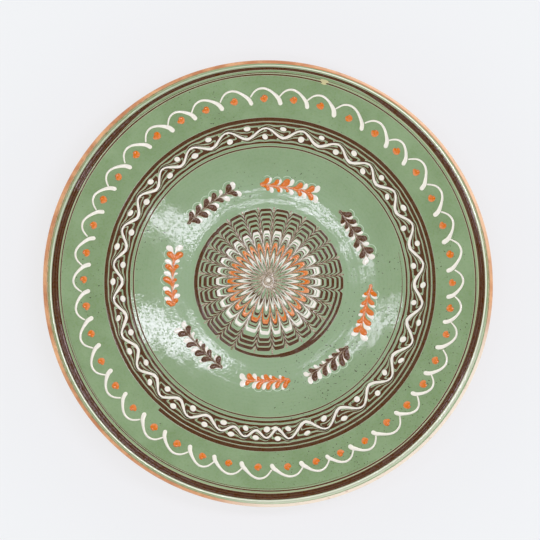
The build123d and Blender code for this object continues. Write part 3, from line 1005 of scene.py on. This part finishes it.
def border_line(skins, first, last, step):
    """A stretch of the band's spiral line, from turn to turn, as the wave's stroke leaves it."""
    start = BORDER_START + 360 * first
    sweep = 360 * (last - first)
    angle = start + np.arange(0, sweep + step, step)
    turns = (angle - BORDER_START) / 360
    off_centre = 0.4 * np.cos(np.radians(angle + 20))
    middle = BORDER_R - BORDER_PITCH * turns + off_centre + unsteady(angle, 0.05, 1.3)
    half = np.interp(turns, *np.transpose(BORDER_HALF)) + unsteady(angle, 0.04, 2.2)
    across = 7
    plan = dragged(ribbon(middle, half, across), np.repeat(angle[:, None], across, 1))
    lay(skins, plan, np.minimum(LINE_HEIGHT, 0.3 * widths_of(plan, False)), False)


def wave_band():
    """The dragged brown lines, the cream wave that dragged them, and the dots in its turns."""
    for name, stretches, nodes in BORDERS:
        skins = Skins()
        for stretch in stretches:
            border_line(skins, *stretch)
        skins.build(name, brown, "brown_slip", nodes)
    trail = Skins()
    angle = np.arange(0, 360, 0.24)
    rise = wave_rise(angle)
    half = WAVE_HALF - 0.06 - 0.2 * rise / WAVE_REACH + whole_wander(angle, 0.05, 0.8)
    stroke(trail, polar(WAVE_MID + rise, angle), half, WAVE_HEIGHT, 9, closed=True)
    end_angle, end_radius, end_half = curve(WAVE_END, 30).T
    stroke(trail, polar(end_radius, end_angle), end_half, WAVE_END_HEIGHT, 9)
    trail.build("wave_stroke_trailed", cream, "cream_slip", ["wave_stroke_cream"])
    turn = np.radians(np.arange(0, 360, 15))
    for row, dots in zip(("outer", "inner"), dot_rows):
        skins = Skins()
        for place, long, wide, tilt in dots:
            outline = np.stack((long * np.cos(turn), wide * np.sin(turn)), axis=-1)
            outline *= (1 + 0.07 * np.sin(2 * turn + rng.uniform(0, 6)))[:, None]
            dab(skins, place, turned(outline, tilt), CREAM_DOT_HEIGHT)
        skins.build(f"wave_dots_{row}_trailed", cream, "cream_slip", [f"wave_dots_{row}_cream"])


# ---- Combed rosette ------------------------------------------------------------------------------------

COMB_END = np.array((0.0, 1.8))  # the comb's strokes meet here, beside the middle of the rings
spokes = []
for spoke_angle, _ in innermost("rosette_brown_ring_2", 0.25):
    far = polar(46.0, spoke_angle) - COMB_END
    spokes.append(np.degrees(np.arctan2(far[1], far[0])) % 360)
spokes = np.sort(np.array(spokes))
spoke_pull = rng.uniform(0.85, 1.15, len(spokes))
COMB_START = 50  # how far from COMB_END the comb was set down


def combed(radius, angle, strength):
    """Where the comb leaves slip that lay at these radii and angles about the plate's axis."""
    plan = polar(radius, angle) - COMB_END
    far = np.hypot(plan[..., 0], plan[..., 1])
    turn = np.degrees(np.arctan2(plan[..., 1], plan[..., 0]))
    off = (turn[..., None] - spokes + 180) % 360 - 180
    nearest = np.abs(off).argmin(axis=-1)
    off = np.take_along_axis(off, nearest[..., None], -1)[..., 0]
    beside = np.abs(far * np.sin(np.radians(off)))
    travelled = COMB_START - far
    pull = np.minimum(4.4 + 0.34 * travelled, 0.8 * far) * spoke_pull[nearest]
    fade = 0.8 + 0.014 * travelled
    reach = 2.1 + 0.012 * travelled
    edge = np.exp(-reach / fade)
    share_of_pull = np.maximum(np.exp(-beside / fade) - edge, 0) / (1 - edge)
    return COMB_END + polar(far - pull * strength * share_of_pull, turn)


def comb_samples(start, sweep):
    """Angles from start, closest together at the spokes."""
    edges = np.concatenate([spokes + 360 * k for k in range(-1, int((start + sweep) / 360) + 2)])
    fan = np.linspace(-1, 1, 27)
    fan = np.sign(fan) * np.abs(fan) ** 1.9
    made = [start, start + sweep]
    for a, b in zip(edges, edges[1:]):
        made.append((a + b) / 2)
        made.append(a + (b - a) / 2 * (1 - np.abs(fan[:13])))
        made.append(b - (b - a) / 2 * (1 - np.abs(fan[14:])))
    made = np.unique(np.round(np.hstack([np.atleast_1d(m) for m in made]), 4))
    return made[(made >= start) & (made <= start + sweep)]


def comb_ring(skins, radius_at, half_at, height, start=0.0, sweep=360.0, strength=None):
    """Lays a line of slip that the comb has crossed: a closed ring, or less or more than a turn."""
    angle = comb_samples(start, sweep)
    closed = sweep == 360
    across = 7
    if closed:
        angle = angle[:-1]
    middle, half = radius_at(angle), half_at(angle)
    force = np.ones_like(angle) if strength is None else strength(angle)
    plan = combed(ribbon(middle, half, across), np.repeat(angle[:, None], across, 1), force[:, None])
    lay(skins, plan, np.minimum(height * half / half.mean(), 0.3 * widths_of(plan, closed)), closed)


def vein_end(turn):
    """Radius where a stroke of the comb began: inside the turns that it left whole."""
    if 276 < turn < 352:
        return 45.0
    return 47.2 if 130 < turn < 205 or 246 < turn <= 276 else 50.4


# The spiral: angle and radius of its start, how far it runs, its step inwards and its half width
SPIRAL_START, SPIRAL_R = 279, 49.1
SPIRAL_SWEEP, SPIRAL_PITCH, SPIRAL_HALF = 1756, 3.3, 1.14
SWIRL_R = 5.4  # the mixed slip at the middle
CURLS = 7
DOT_R = 1.5


def spiral_turns(angle):
    """Turns that the spiral has moved inwards: it steps in over the bottom of each turn."""
    whole = np.floor((angle - 200) / 360)
    local = (angle - 200) % 360 + 200
    part = np.where(whole > 1, smooth_step(225, 315, local), smooth_step(278, 325, local))
    return np.maximum(whole + part - 1, 0)


def spiral_radius(angle):
    turns = spiral_turns(angle)
    inwards = SPIRAL_PITCH * turns - 0.3 * np.minimum(turns, 1)
    return SPIRAL_R - inwards + 0.4 * np.cos(np.radians(angle)) + unsteady(angle, 0.07, 1.9)


def spiral_half(angle):
    """Half width of the spiral's line: thicker at its start and in its second and third turns."""
    turns = spiral_turns(angle)
    thick = 0.5 * smooth_step(SPIRAL_START + 50, SPIRAL_START + 10, angle) + 0.4 * bell(angle, 545, 55)
    bold = smooth_step(0.5, 1.6, turns) * smooth_step(3.8, 3.2, turns)
    heavy = 0.14 * bold * (1 + np.cos(np.radians(angle - 245)))
    end = SPIRAL_START + SPIRAL_SWEEP
    ending = smooth_step(end, end - 66, angle)
    return (SPIRAL_HALF + thick + heavy + unsteady(angle, 0.06, 0.5)) * (0.3 + 0.7 * ending)


def spiral_comb(angle):
    """The comb was set down inside the first turn on the left and at the bottom, and outside it elsewhere."""
    local = angle % 360
    inside = smooth_step(118, 140, local) * smooth_step(208, 198, local)
    inside = inside + smooth_step(244, 250, local) * smooth_step(356, 350, local)
    first = smooth_step(SPIRAL_START + 436, SPIRAL_START + 428, angle)
    return 1 - 0.96 * inside * first


def leaning_ring(skins, radius, half, height, dip, swell):
    """A ring that lies dip nearer the middle at the bottom, and is swell wider at the lower left."""
    lower = np.radians(270)

    def lean(angle, towards):
        return (0.5 + 0.5 * np.cos(np.radians(angle) - towards)) ** 2

    comb_ring(
        skins, lambda a: radius - dip * lean(a, lower) + whole_wander(a, 0.12, radius),
        lambda a: half + swell * lean(a, lower - 0.7) + whole_wander(a, 0.06, radius + 1), height,
    )


def second_turn(skins):
    """The outer cream ring's line ran on for half a turn inside it, thinner."""
    start, sweep = 292, 222

    def half_at(angle):
        return 0.62 * (0.3 + 0.7 * np.sin(np.pi * (angle - start) / sweep) ** 0.5)

    comb_ring(skins, lambda a: 31.9 + unsteady(a, 0.1, 0.4), half_at, LINE_HEIGHT, start, sweep)


# The rings inside the spiral: piece, material, slot, node, then radius, half width, height, dip and swell
RINGS = (
    ("cream_ring_outer", cream, "cream_slip", "cream_ring_outer", 34.3, 1.05, 0.2, 0.7, 0.3),
    ("brown_line_6", brown, "brown_slip", "brown_ring_6", 31.1, 0.8, 0.1, 0.9, 0.0),
    ("brown_line_7", brown, "brown_slip", "brown_ring_7", 28.9, 0.85, 0.12, 1.0, 0.0),
    ("orange_ring", orange_combed, "orange_slip", "orange_ring", 25.9, 1.75, 0.2, -0.3, 0.0),
    ("brown_line_8", brown, "brown_slip", "brown_ring_8", 23.1, 0.85, 0.12, 1.0, 0.3),
    ("cream_ring_inner", cream, "cream_slip", "cream_ring_inner", 20.0, 1.55, 0.2, 2.4, 0.0),
    ("brown_line_9", brown, "brown_slip", "brown_ring_9", 15.8, 0.8, 0.12, 1.8, 1.2),
)


def rosette_rings():
    """The brown spiral and, inside it, the rings, all crossed by the comb."""
    spiral = Skins()
    comb_ring(spiral, spiral_radius, spiral_half, LINE_HEIGHT, SPIRAL_START, SPIRAL_SWEEP, spiral_comb)
    spiral.build(
        "rosette_brown_spiral_combed", brown, "brown_slip",
        [f"rosette_brown_ring_{k}" for k in range(1, 6)],
    )
    for piece, material, slot, node, *size in RINGS:
        skins = Skins()
        leaning_ring(skins, *size)
        if node == "cream_ring_outer":
            second_turn(skins)
        skins.build(f"rosette_{piece}_combed", material, slot, [f"rosette_{node}"])


def rosette_middle():
    """The strokes of mixed slip that the comb drew, and the swirl, curls and dot where they meet."""
    veins = Skins()
    for turn, pull in zip(spokes, spoke_pull):
        far = np.linspace(4.0, vein_end(turn) - COMB_END[1] * np.sin(np.radians(turn)), 60)
        side = 0.18 * np.sin(far / 7 + turn) + 0.1 * np.sin(far / 2.9 + 2 * turn)
        path = COMB_END + polar(far, turn) + polar(side, turn + 90)
        wide = 0.36 * smooth_step(44, 28, far) * smooth_step(6, 22, far)
        half = (0.66 + wide + 0.1 * np.sin(far / 1.7 + turn)) * pull
        stroke(veins, path, half, VEIN_HEIGHT * pull, 5)
    round_turn = np.radians(np.arange(0, 360, 6))
    swirl = SWIRL_R * (1 + 0.06 * np.sin(7 * round_turn) + 0.04 * np.sin(13 * round_turn + 1))
    dab(veins, COMB_END * 0.7, polar(swirl, np.degrees(round_turn)), SWIRL_HEIGHT, 8)
    veins.build("rosette_mixed_slip_combed", mixed, "brown_slip", ["rosette_swirl_brown"])
    curls = Skins()
    for _ in range(CURLS):
        begin = rng.uniform(0, 360)
        travel = np.linspace(0, rng.uniform(90, 170), 26)
        far = rng.uniform(2.0, 4.4) + travel * rng.uniform(-0.004, 0.008)
        stroke(curls, COMB_END * 0.8 + polar(far, begin + travel), 0.16, CURL_HEIGHT, 5)
    curls.build("rosette_centre_curls", cream, "cream_slip", [])
    dot = Skins()
    dab(dot, COMB_END + (0.0, 0.1), polar(DOT_R, np.arange(0, 360, 10)), CENTRE_DOT_HEIGHT)
    dot.build("rosette_centre_dot_trailed", cream, "cream_slip", ["rosette_centre_dot_cream"])


# ---- Sprigs --------------------------------------------------------------------------------------------

# For each sprig, in millimetres from its middle, x along its spine and y outwards: the spine's path, then
# (x, y, size) of the heads of its outer leaves, inner leaves, outer cream dabs and inner cream dabs
SPRIGS = {
    1: (((-19.5, -0.3), (-5, 2.0), (5, 2.6), (18, 1.2)),
        ((-14.5, 3.6, 1.8), (-8.3, 4.6, 1.8), (-1.3, 5.0, 2.0), (5.2, 5.6, 1.8), (16.3, 4.4, 2.2)),
        ((-13.5, -2.7, 1.9), (-7.0, -2.1, 2.1), (0.3, -1.6, 2.1), (7.5, -0.1, 1.5), (17.6, -1.8, 1.7)),
        ((-12.6, 4.4, 1.1), (-6.2, 5.2, 1.2), (1.6, 5.6, 1.2), (10.3, 5.2, 1.3), (19.4, 4.6, 2.1)),
        ((-11.8, -3.4, 1.6), (-4.6, -2.3, 1.5), (3.0, -1.5, 1.5), (11.4, -1.6, 1.8), (19.6, -3.0, 1.9))),
    2: (((-18.5, -0.2), (-5, 0.8), (5, 1.0), (14, 0.2)),
        ((-15.2, 3.5, 1.5), (-8.5, 3.7, 1.5), (-2.0, 4.6, 2.1), (7.2, 4.0, 1.8), (15.2, 3.2, 2.0)),
        ((-13.8, -2.1, 1.3), (-6.4, -1.9, 1.2), (-0.6, -1.2, 0.9), (8.0, -1.9, 1.4), (15.8, -2.9, 1.8)),
        ((-13.2, 4.4, 1.2), (-6.5, 4.4, 1.2), (1.6, 5.6, 1.5), (11.0, 4.4, 1.5), (19.0, 4.0, 2.0)),
        ((-11.0, -2.9, 1.5), (-4.8, -2.0, 1.2), (2.3, -2.2, 1.5), (11.3, -2.8, 1.6), (19.0, -4.0, 2.0))),
    3: (((-19, 0.2), (0, 1.4), (8, 1.6), (17, 1.2)),
        ((-13.8, 4.3, 2.0), (-8.2, 4.6, 1.8), (-2.0, 4.6, 2.2), (5.0, 4.9, 2.2), (14.0, 4.6, 2.3)),
        ((-12.0, -1.8, 1.6), (-7.5, -1.5, 1.4), (-1.5, -1.6, 1.7), (6.3, -1.8, 1.9), (14.3, -2.0, 2.0)),
        ((-11.4, 4.8, 1.1), (-5.8, 5.0, 1.1), (0.8, 5.4, 1.2), (9.1, 5.0, 1.5), (18.3, 3.6, 2.1)),
        ((-10.2, -2.8, 1.0), (-5.3, -2.2, 1.0), (1.6, -1.8, 1.1), (9.4, -2.2, 1.4), (19.0, -2.2, 2.1))),
    4: (((-17.5, 0.2), (-5, -0.3), (5, -0.5), (14, -1.0)),
        ((-11.8, 3.8, 1.6), (-5.8, 3.3, 1.6), (0.9, 4.0, 1.9), (7.9, 3.7, 1.8), (14.6, 1.9, 2.1)),
        ((-11.0, -2.1, 1.2), (-4.5, -2.3, 1.4), (0.9, -2.1, 1.5), (8.0, -2.8, 1.4), (14.0, -3.4, 2.0)),
        ((-10.0, 4.8, 1.3), (-3.9, 4.5, 1.2), (3.3, 5.2, 1.4), (11.2, 4.2, 1.6), (18.0, 3.2, 2.3)),
        ((-9.6, -3.0, 1.2), (-2.8, -3.2, 1.1), (3.4, -3.0, 1.2), (10.2, -3.4, 1.2), (16.7, -4.6, 1.9))),
    5: (((-17, 0.0), (0, 0.2), (10, -0.3), (15, -0.4)),
        ((-12.9, 5.0, 2.2), (-8.0, 6.6, 1.9), (-1.9, 5.4, 2.2), (5.2, 4.8, 1.8), (12.8, 3.0, 2.1)),
        ((-12.5, -1.2, 1.4), (-6.8, -1.3, 1.5), (-1.0, -1.2, 1.3), (4.5, -1.4, 0.9), (11.8, -2.6, 1.6)),
        ((-10.6, 6.6, 1.1), (-4.8, 5.4, 1.1), (2.3, 5.6, 1.3), (9.5, 4.3, 1.8), (16.3, 3.0, 2.0)),
        ((-10.5, -2.4, 1.0), (-3.9, -1.9, 1.1), (2.0, -2.1, 1.0), (7.8, -3.0, 1.2), (16.0, -2.8, 1.7))),
    6: (((-15.5, -0.3), (0, 0.3), (8, 0.2), (13, 0.0)),
        ((-13.0, 3.6, 1.6), (-7.7, 3.7, 1.6), (-1.7, 4.7, 1.4), (4.8, 4.2, 1.7), (12.5, 2.0, 1.4)),
        ((-11.6, -1.5, 1.3), (-5.2, -1.5, 1.4), (-0.2, -2.4, 1.6), (5.0, -1.5, 1.1), (10.9, -2.8, 1.8)),
        ((-11.8, 4.9, 1.4), (-5.5, 4.8, 1.4), (1.3, 4.9, 1.4), (7.9, 4.0, 1.6), (15.4, 2.4, 2.2)),
        ((-9.8, -2.3, 1.2), (-3.4, -2.4, 1.2), (2.2, -2.5, 1.0), (7.4, -3.0, 1.6), (15.7, -2.8, 2.1))),
    7: (((-20, 0.0), (-8, 1.1), (2, 1.0), (16, 0.4)),
        ((-15.3, 4.1, 1.7), (-8.0, 4.8, 1.9), (-2.2, 4.8, 2.2), (6.0, 5.4, 1.8), (15.0, 4.0, 2.1)),
        ((-14.4, -2.7, 1.9), (-6.8, -1.4, 1.7), (-1.0, -1.6, 1.4), (4.8, -1.0, 0.9), (14.3, -2.4, 1.9)),
        ((-14.4, 5.6, 1.5), (-7.4, 6.4, 1.5), (1.5, 5.6, 1.7), (9.5, 4.7, 1.8), (18.2, 4.5, 2.1)),
        ((-12.0, -2.6, 1.0), (-3.8, -2.0, 1.0), (2.0, -1.9, 1.1), (9.5, -2.2, 1.1), (18.5, -2.2, 1.9))),
    8: (((-18, -0.3), (-8, 0.3), (2, 0.5), (15, 0.0)),
        ((-17.0, 2.7, 1.6), (-10.4, 3.7, 1.6), (-1.6, 4.8, 2.0), (7.0, 4.0, 1.8), (15.2, 3.0, 2.0)),
        ((-15.6, -2.2, 1.6), (-9.5, -1.6, 1.3), (-1.8, -1.3, 1.1), (7.2, -2.0, 1.4), (15.1, -3.9, 2.1)),
        ((-14.6, 4.0, 1.7), (-8.0, 5.0, 1.9), (2.5, 4.8, 1.8), (10.5, 4.4, 1.8), (19.4, 3.7, 2.0)),
        ((-12.3, -3.3, 1.7), (-5.5, -2.6, 1.2), (2.5, -2.0, 0.8), (11.0, -2.7, 1.3), (19.8, -3.8, 2.1))),
}  # fmt: skip
LEAF_SLIP, DAB_SLIP, RIPPLE_SLIP = 0.55, 0.18, 0.06  # heights of leaves, cream dabs and ripples in the glaze
LEAF_TAPER, DAB_TAPER = 0.7, 0.4  # how wide a head's tail starts, as a share of the head
LEAF_GROW, DAB_GROW = 1.1, 1.0


SPINE_HALF, SPINE_SIDE_HALF = 0.34, 0.16  # half widths of the mixed slip drawn along a spine and beside it


def sprig_axes(points):
    """The middle of a sprig's points, and the directions along its spine and outwards."""
    spread = points - points.mean(axis=0)
    along = np.linalg.eigh(spread.T @ spread)[1][:, 1]
    place = np.degrees(np.arctan2(*points.mean(axis=0)[::-1]))
    along = along * np.sign(along @ polar(1.0, place - 90))
    out = np.array((-along[1], along[0]))
    middle = sum((np.ptp(points @ side) / 2 + (points @ side).min()) * side for side in (along, out))
    return middle, along, out


def drawn_head(x, y, size, taper, spine):
    """(along, outwards, half width) of a head that is drawn back along the spine to a thin tail."""
    lift = y - np.interp(x, *spine.T)
    knots = [
        (x + 0.1 * size, lift * 1.06, size * 0.86), (x, lift * 0.92, size),
        (x - 0.4 * size, lift * 0.58, size * 0.86), (x - 0.4 * size - 1.2, lift * 0.34, size * taper),
        (x - 3.6, lift * 0.16, 1.1 * taper), (x - 6.0, lift * 0.05, 0.6 * taper), (x - 8.0, 0.0, 0.2),
    ]
    path = curve(knots, 30)
    path = path[path[:, 0] > spine[0, 0] - 0.5]
    path[:, 1] += np.interp(path[:, 0], *spine.T)
    return path


def sprig(number):
    """One feathered sprig, turned the way its nodes lie."""
    leaf_node = next(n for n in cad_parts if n.startswith(f"sprig_{number}_leaves"))
    dab_node = f"sprig_{number}_dabs_cream"
    colour_name = leaf_node.rsplit("_", 1)[1]
    points = np.concatenate((node_points(leaf_node), node_points(dab_node)))[:, :2]
    middle, along, out = sprig_axes(points)
    spine, outer_leaves, inner_leaves, outer_dabs, inner_dabs = SPRIGS[number]
    spine = curve(spine, 60)

    def at(path):
        return middle + path[:, :1] * along + path[:, 1:2] * out

    leaves, dabs = Skins(), Skins()
    for skins, heads, taper, height, grow in (
        (leaves, outer_leaves + inner_leaves, LEAF_TAPER, LEAF_SLIP, LEAF_GROW),
        (dabs, outer_dabs + inner_dabs, DAB_TAPER, DAB_SLIP, DAB_GROW),
    ):
        for x, y, size in heads:
            path = drawn_head(x, y, size * grow, taper, spine)
            stroke(skins, at(path), path[:, 2], height * np.minimum(1, path[:, 2] / 1.2), 9, tip=6)
    tail = np.array([[spine[0, 0] + 0.8, spine[0, 1]]])
    dab(leaves, at(tail)[0], polar(1.3, np.arange(0, 360, 20)), 0.4, 4)
    for shift, half in ((0.0, SPINE_HALF), (0.55, SPINE_SIDE_HALF), (-0.55, SPINE_SIDE_HALF)):
        wander = 0.16 * np.sin(spine[:, 0] / 1.9 + number + 4 * shift)
        drift = np.stack((spine[:, 0], spine[:, 1] + shift + wander), axis=-1)
        size = half + 0.08 * np.sin(spine[:, 0] / 1.3 + number + 7 * shift)
        stroke(spines[colour_name], at(drift), size, LEAF_SLIP * 0.8, 5)
    # a ripple of glaze beyond each outer leaf, its pale colour a painted highlight
    for x, y, size in outer_leaves:
        sweep = np.linspace(rng.uniform(10, 50), rng.uniform(130, 170), 24)
        arc = np.array((x, y)) + polar(size + rng.uniform(1.3, 1.9), sweep)
        stroke(ripples, at(arc), rng.uniform(0.22, 0.34), RIPPLE_SLIP, 5)
    leaves.build(
        f"sprig_{number}_leaves_feathered", SLIPS[colour_name][0], f"{colour_name}_slip", [leaf_node]
    )
    dabs.build(f"sprig_{number}_dabs_feathered", cream, "cream_slip", [dab_node])


# ---- Light, floor and camera ---------------------------------------------------------------------------


def softbox(name, place, along, length, width, radiance):
    """A soft strip of light, in metres, that faces the plate from the height LIGHT_Z."""
    lamp = bpy.data.lights.new(name, "AREA")
    lamp.shape = "RECTANGLE"
    lamp.size, lamp.size_y = length, width
    lamp.energy = radiance * np.pi * length * width
    lamp.color = LAMP_COLOUR
    holder = bpy.data.objects.new(name, lamp)
    away = Vector((*place, LIGHT_Z)).normalized()
    level = Vector((*along, 0.0))
    level = (level - away * level.dot(away)).normalized()
    turned = Matrix((level, away.cross(level), away)).transposed().to_4x4()
    holder.matrix_world = Matrix.Translation((*place, LIGHT_Z)) @ turned
    bpy.context.scene.collection.objects.link(holder)


LIGHT_Z = 2.0
LAMP_COLOUR = (1.0, 0.93, 1.12)
# Name, place, the way its length runs, length, width and radiance
SOFTBOXES = (
    ("softbox_right_front", (0.49, -0.30), (0.35, -0.17), 0.74, 0.10, 15.0),
    ("softbox_right_back", (0.56, 0.25), (1.0, 0.0), 0.84, 0.22, 15.5),
    ("softbox_front", (0.02, -0.235), (1.0, 0.0), 0.34, 0.05, 14.0),
    ("softbox_left_front", (-0.27, -0.16), (-0.2, 0.08), 0.40, 0.09, 13.0),
    ("softbox_left_back", (-0.47, 0.25), (-0.4, -0.13), 0.66, 0.10, 12.5),
)
SKY_COLOUR = (1.0, 1.06, 1.0, 1)
SKY_FADE = (0.35, 0.75, 2.2, 0.12)  # two heights, then the strength at each: bright low down, dim overhead
FLOOR_Z = -0.00003
CAMERA_PLACE = (0.0011, 0.0088, 3.034)


def studio():
    """A dim sky with a bright horizon, five softboxes, a pale floor and a camera that looks straight down."""
    scene = bpy.context.scene
    scene.view_settings.view_transform = "Standard"
    world = bpy.data.worlds.new("studio")
    world.use_nodes = True
    tree = world.node_tree
    sky = tree.nodes.new("ShaderNodeTexCoord")
    split = tree.nodes.new("ShaderNodeSeparateXYZ")
    height = tree.nodes.new("ShaderNodeMapRange")
    for socket, value in zip(height.inputs[1:5], SKY_FADE):
        socket.default_value = value
    tree.links.new(sky.outputs["Generated"], split.inputs[0])
    tree.links.new(split.outputs["Z"], height.inputs[0])
    tree.links.new(height.outputs[0], tree.nodes["Background"].inputs["Strength"])
    tree.nodes["Background"].inputs["Color"].default_value = SKY_COLOUR
    scene.world = world
    for box in SOFTBOXES:
        softbox(*box)
    bpy.ops.mesh.primitive_plane_add(size=6, location=(0, 0, FLOOR_Z))
    floor = bpy.context.object
    floor.name = "floor"
    floor.data.materials.append(floor_looks())
    camera = bpy.data.cameras.new("camera")
    camera.lens = 300
    camera.sensor_width = 36
    holder = bpy.data.objects.new("camera", camera)
    holder.location = CAMERA_PLACE
    scene.collection.objects.link(holder)
    scene.camera = holder


clay_body()
slip_coat()
brim_band()
brim_fine_line()
brim_drop()
scallops()
brim_dots()
wave_band()
rosette_rings()
rosette_middle()
spines = {"brown": Skins(), "orange": Skins()}
ripples = Skins()
for sprig_number in SPRIGS:
    sprig(sprig_number)
for colour_name, lines in spines.items():
    lines.build(f"sprig_spines_{colour_name}_drawn", SLIPS[colour_name][1], "cream_slip", [])
ripples.build("sprig_glaze_ripple_highlights", ripple, "green_slip", [])
studio()
